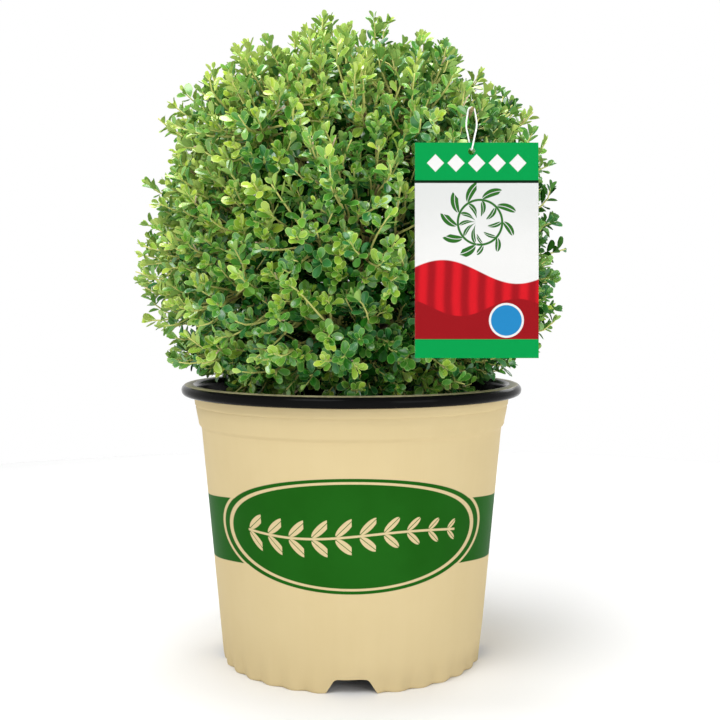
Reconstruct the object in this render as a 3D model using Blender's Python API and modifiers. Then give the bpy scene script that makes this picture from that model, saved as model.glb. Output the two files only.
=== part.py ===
"""Potted boxwood shrub: a dense, rounded evergreen bush in a round nursery pot, with a card hang tag.

Units are metres and +Z is up. The origin is on the pot's axis, on the surface the pot stands on.
The front of the pot, where the tag hangs, faces -Y.
"""

import math
import random

import bmesh
import bpy
import numpy as np
from mathutils import Matrix, Quaternion, Vector
from mathutils.bvhtree import BVHTree

# ---------------------------------------------------------------- driving dimensions
GAP = 0.0003  # clearance between pieces that touch each other
STEPS = 64  # facets round every turned piece

# pot
POT_HEIGHT = 0.195  # to the crest of the rolled rim
FOOT_R = 0.0915  # outer radius on the ground
RIM_R = 0.120  # outer radius of the rolled rim
WALL = 0.0018  # thickness of the tan shell
# outer wall of the tan shell: height, radius; a shoulder steps it out under the rim
WALL_STATIONS = (
    (0.0000, FOOT_R),
    (0.1640, 0.1061),
    (0.1680, 0.1082),
    (0.1882, 0.1119),
)
FLOOR_Z = 0.0150  # top of the raised floor
FLOOR_T = 0.0020
FOOT_LIP = 0.0036  # width of the flat ring it stands on
FLUTES = 32  # scalloped flutes round the foot
FLUTE_DEPTH = 0.0011
FLUTE_H = 0.0220
NOTCHES = 4  # drainage notches, the first one in front
NOTCH_BOTTOM_W, NOTCH_TOP_W, NOTCH_H = 0.0330, 0.0240, 0.0100
DRAINS, DRAIN_D, DRAIN_AT_R = 4, 0.012, 0.058

# black lining with the rolled rim
LINING = 0.0015
LINING_BOTTOM = 0.1500
RIM_SKIRT_BOTTOM = 0.1845
RIM_SKIRT_T = 0.0018
RIM_CEILING = 0.1885  # underside of the rim over the shell's lip
RIM_CREST_H = 0.0045

# soil
SOIL_TOP = 0.1730

# trunk: height, radius; x and y of the centre line come from the lean
TRUNK_TOP = 0.2620
TRUNK_STATIONS = (
    (0.0000, 0.0125),
    (0.0030, 0.0105),
    (0.0090, 0.0085),
    (0.0250, 0.0070),
    (0.0500, 0.0056),
    (0.0730, 0.0048),
    (0.0887, 0.0042),
)
TRUNK_LEAN = (0.0035, 0.0020)  # how far the tip stands off the foot
TRUNK_SIDES = 12
BOUGH_SIDES = 6
BOUGH_R, BOUGH_TIP_R = 0.0025, 0.0018
END = 0.0025  # the straight stretch where a bough's end faces the stem it carries

# crown: a superellipsoid about its centre, taller above than below
CROWN_Z = 0.297
CROWN_R = 0.1440
CROWN_UP, CROWN_UP_POWER = 0.1510, 2.1
CROWN_DOWN, CROWN_DOWN_POWER = 0.1170, 2.8
CROWN_LEAN = -0.006  # the top leans this far to -X
LOWEST_DEG = -60  # no shoot points lower than this from the crown's centre

# masses of foliage: ring, how many, radius and height of their centres, first azimuth,
# height and radial distance of the bough's foot and tip
RINGS = (
    ("top", 1, 0.000, 0.408, 0.0, None, 0.000, 0.358),
    ("upper", 5, 0.080, 0.373, -59.0, 0.246, 0.040, 0.333),
    ("middle", 6, 0.097, 0.299, -23.0, 0.222, 0.047, 0.268),
    ("lower", 5, 0.088, 0.228, -95.0, 0.199, 0.045, 0.221),
)
CELL_GAP = 0.0010  # clear space between neighbouring masses
SPINDLE_R = 0.0310  # the middle of the crown, left to the limbs

SHOOTS = 130  # twig tips spread evenly over the outline
SHOOT_IN, SHOOT_OUT = 0.007, 0.004  # how far a tip may fall short of the outline, or pass it
# long shoots that pass the outline: azimuth, height above the crown's centre, radius
LONG_SHOOTS = (
    (181.0, -0.012, 0.1490),
    (-2.0, -0.008, 0.1510),
    (176.0, 0.153, 0.0150),
    (172.0, 0.137, 0.0740),
    (12.0, 0.104, 0.1180),
    (190.0, 0.080, 0.1340),
    (-171.0, -0.058, 0.1420),
    (-14.0, -0.050, 0.1440),
    (93.0, 0.010, 0.1500),
    (84.0, -0.016, 0.1510),
    (103.0, 0.028, 0.1500),
    (-96.0, 0.040, 0.1460),
)
TWIG_R, TWIG_TIP_R, STEM_TIP_R = 0.0017, 0.0013, 0.0015
CORE_SHARE, CORE_SHARE_LOW = 0.79, 0.81  # how far the dense cores reach towards the outline
FURTHEST = 1.045  # the most a leaf may pass the outline
CORE_MAX = 0.056

LEAF_L, LEAF_W, LEAF_T = 0.0300, 0.0190, 0.0014
LEAF_SPREAD_DEG = 62  # angle between a leaf and its twig
TIP_SPREAD = 0.55  # the same at a shoot's tip, in radians
LEAF_REACH = 0.80  # how far the leaf at the tip carries on past its twig
TIP_LEAF_BACK, PAIR_BACK = 0.0012, 0.0050  # how far behind the twig's tip its leaves are rooted
LEAF_SUNK = 0.0003  # how deep a leaf's root lies past its twig's middle
LEAF_TRIES = 16  # how often a leaf is turned a little before it is skipped
LEAF_BETWEEN = 0.0026  # leaves keep at least this far apart past their roots
SIDE_ROOM = 0.0080  # a shoot's end stays this far inside the mass's space
ROOT_ZONE = 0.0060  # the first stretch of a leaf, which may touch its twig and its pair

# hang tag: a card that leans back on the foliage, its hole near the top edge
TAG_W, TAG_H, TAG_T = 0.0725, 0.1265, 0.0008
TAG_AT = (0.0734, -0.1385, 0.2826)
TAG_TILT_DEG, TAG_YAW_DEG = 3.5, -0.5
HOLE_D, HOLE_DOWN, HOLE_ASIDE = 0.0040, 0.0052, -0.0030
LOOP_D = 0.0012
LOOP_H = 0.0240  # from the hole up to the twig that carries the loop
LOOP_HALF_W = 0.0030
HOOK_R = 0.0011
HOOK_PAST = 0.0060  # how far the carrying twig runs on in front of the loop

# ---------------------------------------------------------------- scene and helpers
for old in list(bpy.data.objects):
    bpy.data.objects.remove(old, do_unlink=True)

shrub = bpy.data.collections.new("potted_boxwood_shrub")
bpy.context.scene.collection.children.link(shrub)
cutters = bpy.data.collections.new("cutters")
bpy.context.scene.collection.children.link(cutters)
rng = random.Random(58)


def material(name, colour, roughness, metallic=0.0):
    """A plain Principled material."""
    mat = bpy.data.materials.new(name)
    mat.use_nodes = True
    shader = mat.node_tree.nodes["Principled BSDF"]
    shader.inputs["Base Color"].default_value = (*colour, 1.0)
    shader.inputs["Roughness"].default_value = roughness
    shader.inputs["Metallic"].default_value = metallic
    mat.diffuse_color = (*colour, 1.0)
    return mat


TAN = material("tan_plastic", (0.69, 0.55, 0.30), 0.45)
BLACK = material("black_plastic", (0.012, 0.012, 0.012), 0.25)
SOIL = material("potting_soil", (0.035, 0.022, 0.014), 0.95)
BARK = material("bark", (0.20, 0.13, 0.07), 0.85)
LEAF = material("boxwood_leaf", (0.09, 0.21, 0.03), 0.45)
CARD = material("tag_card", (0.02, 0.33, 0.08), 0.35)
ELASTIC = material("white_elastic", (0.85, 0.85, 0.83), 0.6)


def add_object(name, mesh, mat, collection=shrub):
    ob = bpy.data.objects.new(name, mesh)
    if mat is not None:
        mesh.materials.clear()
        mesh.materials.append(mat)
    collection.objects.link(ob)
    return ob


def turned(name, profile, mat, closed=False):
    """A solid of revolution: the profile's outer side runs from top to bottom."""
    mesh = bpy.data.meshes.new(name)
    edges = [(i, i + 1) for i in range(len(profile) - 1)]
    if closed:
        edges.append((len(profile) - 1, 0))
    mesh.from_pydata([(r, 0.0, z) for r, z in profile], edges, [])
    ob = add_object(name, mesh, mat)
    screw = ob.modifiers.new("turn", "SCREW")
    screw.angle = math.tau
    screw.axis = "Z"
    screw.steps = screw.render_steps = STEPS
    screw.use_merge_vertices = True
    screw.merge_threshold = 0.00001
    screw.use_smooth_shade = True
    return ob


def apply_modifiers(ob):
    """Replaces the object's mesh by its evaluated mesh."""
    bpy.context.view_layer.update()
    graph = bpy.context.evaluated_depsgraph_get()
    mesh = bpy.data.meshes.new_from_object(ob.evaluated_get(graph))
    old = ob.data
    ob.modifiers.clear()
    ob.data = mesh
    mesh.name = ob.name
    if old.users == 0:
        bpy.data.meshes.remove(old)


def cut(ob, cutter):
    """Takes the cutter's shape out of the object."""
    for collection in list(cutter.users_collection):
        collection.objects.unlink(cutter)
    cutters.objects.link(cutter)
    cutter.hide_render = True
    cutter.display_type = "WIRE"
    boolean = ob.modifiers.new(cutter.name, "BOOLEAN")
    boolean.operation = "DIFFERENCE"
    boolean.object = cutter
    boolean.solver = "EXACT"


def polar(radius, azimuth, z=0.0):
    return Vector((radius * math.cos(azimuth), radius * math.sin(azimuth), z))


def wall_r(z):
    """Outer radius of the tan shell at a height."""
    return float(np.interp(z, [s[0] for s in WALL_STATIONS], [s[1] for s in WALL_STATIONS]))


def lining_r(z):
    """Inner radius of the black lining at a height: straight from its lower edge to the lip."""
    bottom = wall_r(LINING_BOTTOM) - WALL - GAP - 1.6 * LINING
    top = wall_r(WALL_STATIONS[-1][0]) - WALL - GAP - LINING
    return float(np.interp(z, [LINING_BOTTOM, POT_HEIGHT - RIM_CREST_H], [bottom, top]))


# ---------------------------------------------------------------- pot shell
LIP_Z = WALL_STATIONS[-1][0]
upper_stations = [z for z, r in WALL_STATIONS if z > FLUTE_H]
inner = [(0.0, FLOOR_Z), (wall_r(FLOOR_Z) - WALL, FLOOR_Z)]
inner += [(wall_r(z) - WALL, z) for z in upper_stations]
outer = [(wall_r(z), z) for z in reversed(upper_stations)]
outer += [(wall_r(FLUTE_H), FLUTE_H), (FOOT_R, 0.0)]
under = [
    (FOOT_R - FOOT_LIP, 0.0),
    (wall_r(FLOOR_Z) - WALL - 0.0022, FLOOR_Z - FLOOR_T),
    (0.0, FLOOR_Z - FLOOR_T),
]
pot = turned("pot_shell", inner + outer + under, TAN)
apply_modifiers(pot)
for vertex in pot.data.vertices:
    radius = math.hypot(vertex.co.x, vertex.co.y)
    low = vertex.co.z < FLUTE_H - 0.001
    if low and radius > wall_r(vertex.co.z) - 0.0001:
        # the flutes fade out towards the top of the scalloped foot
        azimuth = math.atan2(vertex.co.y, vertex.co.x)
        depth = FLUTE_DEPTH * (1.0 - vertex.co.z / FLUTE_H)
        shift = -0.5 * depth * (1.0 - math.cos(FLUTES * azimuth))
        vertex.co.x *= (radius + shift) / radius
        vertex.co.y *= (radius + shift) / radius

for i in range(NOTCHES):
    azimuth = -math.pi / 2 + i * math.tau / NOTCHES
    bpy.ops.mesh.primitive_cube_add(size=1.0)
    notch = bpy.context.object
    notch.name = f"notch_cutter_{i + 1}"
    for vertex in notch.data.vertices:
        width = NOTCH_TOP_W if vertex.co.z > 0 else NOTCH_BOTTOM_W * 1.05
        vertex.co = Vector((
            vertex.co.x * 0.020,
            vertex.co.y * width,
            NOTCH_H if vertex.co.z > 0 else -0.002,
        ))
    notch.location = polar(FOOT_R - 0.003, azimuth)
    notch.rotation_euler = (0.0, 0.0, azimuth)
    cut(pot, notch)

for i in range(DRAINS):
    azimuth = -math.pi / 4 + i * math.tau / DRAINS
    bpy.ops.mesh.primitive_cylinder_add(
        vertices=12, radius=DRAIN_D / 2, depth=0.010,
        location=polar(DRAIN_AT_R, azimuth, FLOOR_Z),
    )
    drain = bpy.context.object
    drain.name = f"drain_cutter_{i + 1}"
    cut(pot, drain)

# ---------------------------------------------------------------- lining and rolled rim
crest_z = POT_HEIGHT - RIM_CREST_H
crest_r = (RIM_R + lining_r(crest_z)) / 2
crest_half = (RIM_R - lining_r(crest_z)) / 2
ARC = 4
roll = [
    (crest_r - crest_half * math.cos(math.pi * k / ARC),
     crest_z + RIM_CREST_H * math.sin(math.pi * k / ARC))
    for k in range(ARC + 1)
]
lining_up = [(lining_r(LINING_BOTTOM), LINING_BOTTOM)]
skirt = [
    (RIM_R, RIM_SKIRT_BOTTOM),
    (RIM_R - RIM_SKIRT_T, RIM_SKIRT_BOTTOM),
    (RIM_R - RIM_SKIRT_T, RIM_CEILING),
    (wall_r(LIP_Z) - WALL - GAP, RIM_CEILING),
]
lining_down = [(wall_r(z) - WALL - GAP, z) for z in (0.1680, 0.1640, LINING_BOTTOM)]
turned("pot_rim", lining_up + roll + skirt + lining_down, BLACK, closed=True)

# ---------------------------------------------------------------- soil
soil_side = [(lining_r(z) - GAP, z) for z in (SOIL_TOP, LINING_BOTTOM - GAP)]
soil_side += [(wall_r(z) - WALL - GAP, z) for z in (LINING_BOTTOM - GAP, FLOOR_Z + GAP)]
turned("soil", [(0.0, SOIL_TOP)] + soil_side + [(0.0, FLOOR_Z + GAP)], SOIL)


# ---------------------------------------------------------------- limbs
def section(sides):
    """The cross-section of a limb with few sides, as a curve."""
    curve = bpy.data.curves.new("section", "CURVE")
    curve.dimensions = "2D"
    spline = curve.splines.new("POLY")
    spline.points.add(sides - 1)
    for k, point in enumerate(spline.points):
        angle = math.tau * k / sides + math.pi / 2
        point.co = (math.cos(angle), math.sin(angle), 0.0, 1.0)
    spline.use_cyclic_u = True
    return bpy.data.objects.new("section", curve)


def limb_mesh(name, points, radii, sides, cyclic=False):
    """A tapering tube with filled ends: a bevelled curve turned into one closed mesh."""
    curve = bpy.data.curves.new(name, "CURVE")
    curve.dimensions = "3D"
    curve.use_fill_caps = True
    guide = None
    if sides == 3:
        guide = section(sides)
        curve.bevel_mode = "OBJECT"
        curve.bevel_object = guide
    else:
        curve.bevel_depth = 1.0
        curve.bevel_resolution = sides // 2 - 2
    spline = curve.splines.new("POLY")
    spline.points.add(len(points) - 1)
    for point, at, radius in zip(spline.points, points, radii):
        point.co = (*at, 1.0)
        point.radius = radius
    spline.use_cyclic_u = cyclic
    ob = bpy.data.objects.new(name, curve)
    bpy.context.scene.collection.objects.link(ob)
    bpy.context.view_layer.update()
    graph = bpy.context.evaluated_depsgraph_get()
    mesh = bpy.data.meshes.new_from_object(ob.evaluated_get(graph))
    bpy.data.objects.remove(ob)
    bpy.data.curves.remove(curve)
    if guide is not None:
        section_curve = guide.data
        bpy.data.objects.remove(guide)
        bpy.data.curves.remove(section_curve)
    bm = bmesh.new()
    bm.from_mesh(mesh)
    bmesh.ops.remove_doubles(bm, verts=bm.verts, dist=0.000001)
    bmesh.ops.recalc_face_normals(bm, faces=bm.faces)
    bm.to_mesh(mesh)
    bm.free()
    mesh.name = name
    return mesh


def bezier(p0, p1, p2, p3, count):
    """Points along a cubic curve, both ends included."""
    out = []
    for k in range(count):
        t = k / (count - 1)
        out.append(
            p0 * (1 - t) ** 3 + p1 * 3 * t * (1 - t) ** 2 + p2 * 3 * t * t * (1 - t) + p3 * t ** 3
        )
    return out


def trunk_axis(z):
    """Centre line of the trunk at a height: upright at the foot, then leaning."""
    share = max(0.0, (z - SOIL_TOP - 0.003) / (TRUNK_TOP - SOIL_TOP - 0.003))
    return Vector((TRUNK_LEAN[0] * share ** 1.5, TRUNK_LEAN[1] * share ** 1.5, z))


def trunk_r(z):
    heights = [SOIL_TOP + GAP + s[0] for s in TRUNK_STATIONS]
    return float(np.interp(z, heights, [s[1] for s in TRUNK_STATIONS]))


def foot_gap(path, radius):
    """The least distance from a bough's flat foot to the trunk's surface."""
    axis = (path[1] - path[0]).normalized()
    aside = axis.orthogonal().normalized() * radius
    rim = [path[0]] + [
        path[0] + Quaternion(axis, math.tau * k / 12) @ aside for k in range(12)
    ]
    gaps = []
    for point in rim:
        centre = trunk_axis(point.z)
        gaps.append(math.hypot(point.x - centre.x, point.y - centre.y) - trunk_r(point.z))
    return min(gaps)


trunk_points = [trunk_axis(SOIL_TOP + GAP + s[0]) for s in TRUNK_STATIONS]
add_object(
    "trunk",
    limb_mesh("trunk", trunk_points, [s[1] for s in TRUNK_STATIONS], TRUNK_SIDES),
    BARK,
)

# each limb as the points it runs through, dense enough to test distances against
limb_tests = []


def remember_limb(points, radii):
    for (a, b), (ra, rb) in zip(zip(points, points[1:]), zip(radii, radii[1:])):
        steps = max(2, int((b - a).length / 0.0015))
        for k in range(steps + 1):
            t = k / steps
            limb_tests.append((*(a.lerp(b, t)), ra + (rb - ra) * t))


remember_limb(trunk_points, [s[1] for s in TRUNK_STATIONS])

masses = []  # name, seed of its cell, bough tip, direction there
for ring, count, ring_r, ring_z, first, foot_z, tip_r, tip_z in RINGS:
    for i in range(count):
        name = ring if count == 1 else f"{ring}_{i + 1}"
        azimuth = math.radians(first + 360.0 * i / count)
        out = polar(1.0, azimuth)
        seed = polar(ring_r, azimuth, ring_z)
        tip = polar(tip_r, azimuth, tip_z)
        if foot_z is None:
            # the leader goes on from the trunk's tip
            start = trunk_points[-1] + Vector((0, 0, GAP))
            path = bezier(start, start + Vector((0, 0, 0.03)), tip - Vector((0, 0, 0.03)), tip, 5)
            path.insert(-1, tip - Vector((0, 0, END)))
            first_r = trunk_r(TRUNK_TOP) * 0.86
            heading = Vector((0, 0, 1))
        else:
            z = foot_z + (0.005 if i % 2 else -0.004)
            heading = (seed - tip).normalized()
            first_r = BOUGH_R
            apart = 0.0
            for _ in range(4):
                # the foot is moved out until its nearest edge is one gap off the trunk
                start = trunk_axis(z) + out * (trunk_r(z) + apart)
                path = bezier(start, start + out * 0.016, tip - heading * 0.018, tip - heading * END, 5)
                path.append(tip)
                apart += GAP + 0.0001 - foot_gap(path, first_r)
        radii = [first_r + (BOUGH_TIP_R - first_r) * k / (len(path) - 1) for k in range(len(path))]
        add_object(f"bough_{name}", limb_mesh(f"bough_{name}", path, radii, BOUGH_SIDES), BARK)
        remember_limb(path, radii)
        masses.append((name, seed, tip, heading))

limb_tests = np.array(limb_tests)


# ---------------------------------------------------------------- hang tag and its loop
tag_turn = Matrix.Rotation(math.radians(TAG_YAW_DEG), 3, "Z") @ Matrix.Rotation(
    math.radians(90.0 - TAG_TILT_DEG), 3, "X"
)
tag_u, tag_v, tag_n = (tag_turn @ Vector(axis) for axis in ((1, 0, 0), (0, 1, 0), (0, 0, 1)))
tag_at = Vector(TAG_AT)
hole_at = (HOLE_ASIDE, TAG_H / 2 - HOLE_DOWN)

card = bpy.data.curves.new("hang_tag", "CURVE")
card.dimensions = "2D"
card.fill_mode = "BOTH"
card.extrude = TAG_T / 2
edge = card.splines.new("POLY")
edge.points.add(3)
for point, (sx, sy) in zip(edge.points, ((-1, -1), (1, -1), (1, 1), (-1, 1))):
    point.co = (sx * TAG_W / 2, sy * TAG_H / 2, 0.0, 1.0)
edge.use_cyclic_u = True
hole = card.splines.new("POLY")
hole.points.add(15)
for k, point in enumerate(hole.points):
    angle = math.tau * k / 16
    point.co = (
        hole_at[0] + HOLE_D / 2 * math.cos(angle),
        hole_at[1] + HOLE_D / 2 * math.sin(angle),
        0.0,
        1.0,
    )
hole.use_cyclic_u = True
card.materials.append(CARD)
tag = bpy.data.objects.new("hang_tag", card)
tag.matrix_world = Matrix.Translation(tag_at) @ tag_turn.to_4x4()
shrub.objects.link(tag)


def on_tag(u, v, n):
    """A point given across, up and out from the hole's centre."""
    return tag_at + tag_u * (hole_at[0] + u) + tag_v * (hole_at[1] + v) + tag_n * n


loop_r = LOOP_D / 2
seat = HOLE_D / 2 - loop_r - GAP - 0.0001  # the loop bears near the top of the hole
off_card = TAG_T / 2 + loop_r + 0.0005
over = HOOK_R + loop_r + GAP
hook_axis = on_tag(0.0, LOOP_H, 0.0)
loop_route = [
    on_tag(0.0, seat, 0.0),
    on_tag(0.0002, seat + 0.0004, off_card * 0.9),
    on_tag(0.0008, seat + 0.0030, off_card * 1.25),
    on_tag(LOOP_HALF_W * 0.6, 0.0090, off_card),
    on_tag(LOOP_HALF_W, 0.0155, off_card * 0.5),
    on_tag(over + 0.0005, LOOP_H - 0.0025, 0.0),
]
for k in range(7):
    angle = math.pi * k / 6
    loop_route.append(on_tag(over * math.cos(angle), LOOP_H + over * math.sin(angle), 0.0))
loop_route += [
    on_tag(-over - 0.0005, LOOP_H - 0.0025, 0.0),
    on_tag(-LOOP_HALF_W, 0.0155, -off_card * 0.5),
    on_tag(-LOOP_HALF_W * 0.6, 0.0090, -off_card),
    on_tag(-0.0008, seat + 0.0030, -off_card * 1.25),
    on_tag(-0.0002, seat + 0.0004, -off_card * 0.9),
]
loop_points = []
total = len(loop_route)
for k in range(total):
    a, b, c, d = (loop_route[(k + j) % total] for j in (-1, 0, 1, 2))
    # a smooth curve through every point of the route, with one more point on the long stretches
    for t in (0.0, 0.5) if (c - b).length > 0.003 else (0.0,):
        loop_points.append(
            0.5 * ((2 * b) + (c - a) * t + (2 * a - 5 * b + 4 * c - d) * t * t
                   + (3 * b - a - 3 * c + d) * t ** 3)
        )
add_object(
    "tag_loop",
    limb_mesh("tag_loop", loop_points, [loop_r] * len(loop_points), 6, cyclic=True),
    ELASTIC,
)
loop_tests = np.array([(*p, loop_r) for p in loop_points])


# ---------------------------------------------------------------- the crown's space
def crown_point(direction):
    """Where a unit direction from the crown's centre meets its outline."""
    flat = math.hypot(direction.x, direction.y)
    height, power = (
        (CROWN_UP, CROWN_UP_POWER) if direction.z > 0 else (CROWN_DOWN, CROWN_DOWN_POWER)
    )
    reach = ((flat / CROWN_R) ** power + (abs(direction.z) / height) ** power) ** (-1 / power)
    point = direction * reach
    point.x += CROWN_LEAN * max(0.0, point.z / CROWN_UP) ** 1.5
    point.z += CROWN_Z
    return point


def outline_share(point):
    """How far out a point lies: 1 on the crown's outline."""
    z = point.z - CROWN_Z
    x = point.x - CROWN_LEAN * max(0.0, z / CROWN_UP) ** 1.5
    height, power = (CROWN_UP, CROWN_UP_POWER) if z > 0 else (CROWN_DOWN, CROWN_DOWN_POWER)
    flat = math.hypot(x, point.y)
    return ((flat / CROWN_R) ** power + (abs(z) / height) ** power) ** (1 / power)


def core_share(point):
    return CORE_SHARE if point.z > CROWN_Z - 0.02 else CORE_SHARE_LOW


def cell_planes(index):
    """The flat sides of one mass's space: a point and a normal that points out of it."""
    name, seed, tip, heading = masses[index]
    planes = []
    for j, other in enumerate(masses):
        if j != index:
            normal = (other[1] - seed).normalized()
            planes.append(((seed + other[1]) / 2 - normal * CELL_GAP / 2, normal))
    if math.hypot(seed.x, seed.y) > 0.01:
        inward = -Vector((seed.x, seed.y, 0.0)).normalized()
        planes.append((-inward * SPINDLE_R, inward))
    return planes


def inside(point, planes, margin=0.0):
    return all((point - at).dot(normal) < -margin for at, normal in planes)


def clear_of_pot(point, margin=0.0):
    """True above the soil, and above the rim where the pot's wall is."""
    flat = math.hypot(point.x, point.y)
    if point.z < SOIL_TOP + 0.002 + margin:
        return False
    return flat < 0.100 - margin or point.z > POT_HEIGHT + 0.0015 + margin


def clear_of_tag(point, margin=0.0):
    """False in front of the card, or less than a millimetre behind it."""
    local = point - tag_at
    return (
        abs(local.dot(tag_u)) > TAG_W / 2 + 0.0015 + margin
        or abs(local.dot(tag_v)) > TAG_H / 2 + 0.0015 + margin
        or local.dot(tag_n) < -TAG_T / 2 - 0.0008 - margin
    )


def path_clear(points, radii, tests, margin=0.0005):
    """True if a twig keeps away from every limb or loop point."""
    samples = []
    for (a, b), (ra, rb) in zip(zip(points, points[1:]), zip(radii, radii[1:])):
        steps = max(1, int((b - a).length / 0.002))
        samples += [(*a.lerp(b, k / steps), max(ra, rb)) for k in range(steps + 1)]
    samples = np.array(samples)
    apart = np.linalg.norm(samples[:, None, :3] - tests[None, :, :3], axis=2)
    return bool((apart > samples[:, None, 3] + tests[None, :, 3] + margin).all())


def leaf_clear(frame, size, tests, margin=0.0006):
    """True if a flat leaf keeps away from every limb or loop point."""
    turn = np.array(frame.to_3x3().normalized())
    local = (tests[:, :3] - np.array(frame.translation)) @ turn
    reach = tests[:, 3] + margin
    x = (local[:, 0] - size * LEAF_L / 2) / (size * LEAF_L / 2 + reach)
    y = local[:, 1] / (size * LEAF_W / 2 + reach)
    touching = (x * x + y * y < 1.25) & (np.abs(local[:, 2]) < size * LEAF_T + reach)
    return not bool(touching.any())


# ---------------------------------------------------------------- leaf
def leaf_mesh():
    """An octahedron laid on one face and flattened: a six-sided leaf of eight faces.

    Its root is at the origin, it points along +X and its upper face looks along +Z.
    """
    bm = bmesh.new()
    bmesh.ops.create_uvsphere(bm, u_segments=4, v_segments=2, radius=1.0)
    face_up = Vector((1, 1, 1)).rotation_difference(Vector((0, 0, 1)))
    bmesh.ops.rotate(bm, verts=bm.verts, cent=(0, 0, 0), matrix=face_up.to_matrix())
    corner = max(bm.verts, key=lambda v: v.co.z).co
    bmesh.ops.rotate(
        bm, verts=bm.verts, cent=(0, 0, 0),
        matrix=Matrix.Rotation(-math.atan2(corner.y, corner.x), 3, "Z"),
    )
    across = math.sqrt(2.0 / 3.0)
    for vertex in bm.verts:
        x, y = vertex.co.x / across, vertex.co.y / across
        # widest beyond the middle, narrow at the root
        width = 0.5 * LEAF_W / 0.866 * (1.0 if x > 0 else 0.80)
        length = 0.5 * LEAF_L * (x if x > 0 else x * (0.72 if x > -0.9 else 1.0))
        vertex.co = Vector((
            length + 0.5 * LEAF_L,
            y * width,
            math.copysign(LEAF_T / 2, vertex.co.z) + (0.0012 if abs(y) > 0.1 else 0.0),
        ))
    mesh = bpy.data.meshes.new("leaf")
    bm.to_mesh(mesh)
    bm.free()
    return mesh


leaf_data = leaf_mesh()
leaf_corners = [v.co.copy() for v in leaf_data.vertices]
leaf_samples = leaf_corners + [
    a.lerp(b, 0.5) for i, a in enumerate(leaf_corners) for b in leaf_corners[i + 1:]
]


def leaf_frame(root, along, across, size):
    """The place of a leaf that starts at root, points along and has its width across."""
    x = along.normalized()
    z = x.cross(across).normalized()
    y = z.cross(x)
    turn = Matrix((x, y, z)).transposed().to_4x4()
    return Matrix.Translation(root) @ turn @ Matrix.Scale(size, 4)


# ---------------------------------------------------------------- where the shoots end
def shoot_tips():
    """Tips spread evenly over the outline by the golden angle, then the long shoots."""
    tips = []
    golden = math.pi * (3 - math.sqrt(5))
    low = math.sin(math.radians(LOWEST_DEG))
    for k in range(SHOOTS):
        z = 1.0 - (k + 0.5) / SHOOTS * (1.0 - low)
        flat = math.sqrt(1 - z * z)
        direction = polar(flat, k * golden, z)
        point = crown_point(direction)
        centre = Vector((0, 0, CROWN_Z))
        point += (point - centre).normalized() * rng.uniform(-SHOOT_IN, SHOOT_OUT)
        tips.append(point)
    for azimuth, up, radius in LONG_SHOOTS:
        tips.append(polar(radius, math.radians(azimuth), CROWN_Z + up))
    return tips


def owner(point):
    """The mass whose space holds a point."""
    return min(range(len(masses)), key=lambda i: (masses[i][1] - point).length)


tips_of = [[] for _ in masses]
for tip in shoot_tips():
    tips_of[owner(tip)].append(tip)


# ---------------------------------------------------------------- one mass of foliage
def core_mesh(name, centre, planes):
    """A lumpy solid that fills the dense middle of a mass and stays clear of every limb."""
    bm = bmesh.new()
    bmesh.ops.create_icosphere(bm, subdivisions=2, radius=1.0)
    directions = [v.co.normalized() for v in bm.verts]
    reaches = []
    for direction in directions:
        reach = 0.004
        while reach < CORE_MAX:
            point = centre + direction * (reach + 0.001)
            apart = np.linalg.norm(limb_tests[:, :3] - np.array(point), axis=1) - limb_tests[:, 3]
            if (
                not inside(point, planes, 0.0015)
                or outline_share(point) > core_share(point)
                or not clear_of_pot(point, 0.003)
                or apart.min() < 0.0015
            ):
                break
            reach += 0.001
        reaches.append(reach * rng.uniform(0.94, 1.0))
    for _ in range(16):
        for vertex, direction, reach in zip(bm.verts, directions, reaches):
            vertex.co = centre + direction * reach
        tree = BVHTree.FromBMesh(bm)
        close = [Vector(t[:3]) - centre for t in limb_tests if sunk(tree, Vector(t[:3]), t[3] + 0.0006)]
        if not close:
            break
        # the core draws back only where a limb comes too near
        for k, direction in enumerate(directions):
            if any(direction.angle(way) < 0.75 for way in close):
                reaches[k] *= 0.88
    bmesh.ops.recalc_face_normals(bm, faces=bm.faces)
    tree = BVHTree.FromBMesh(bm)
    mesh = bpy.data.meshes.new(name)
    bm.to_mesh(mesh)
    bm.free()
    return mesh, tree


def sunk(tree, point, near):
    """True if a point lies in a solid, or nearer to its surface than it may."""
    place, normal, face, distance = tree.find_nearest(point, 0.03)
    return place is not None and (distance < near or (point - place).dot(normal) < 0)


def twig_samples(path, radius):
    """Points along a twig, each with the twig's radius."""
    out = []
    for a, b in zip(path, path[1:]):
        steps = max(1, int((b - a).length / 0.002))
        out += [(*a.lerp(b, k / steps), radius) for k in range(steps + 1)]
    return np.array(out)


def middle_of(planes):
    """The middle of the part of a mass's space that its core may fill."""
    found = []
    while len(found) < 150:
        point = polar(CROWN_R * math.sqrt(rng.random()), rng.uniform(0, math.tau))
        point.z = CROWN_Z + rng.uniform(-CROWN_DOWN, CROWN_UP)
        if inside(point, planes, 0.002) and outline_share(point) < core_share(point):
            found.append(point)
    return sum(found, Vector()) / len(found)


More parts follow.
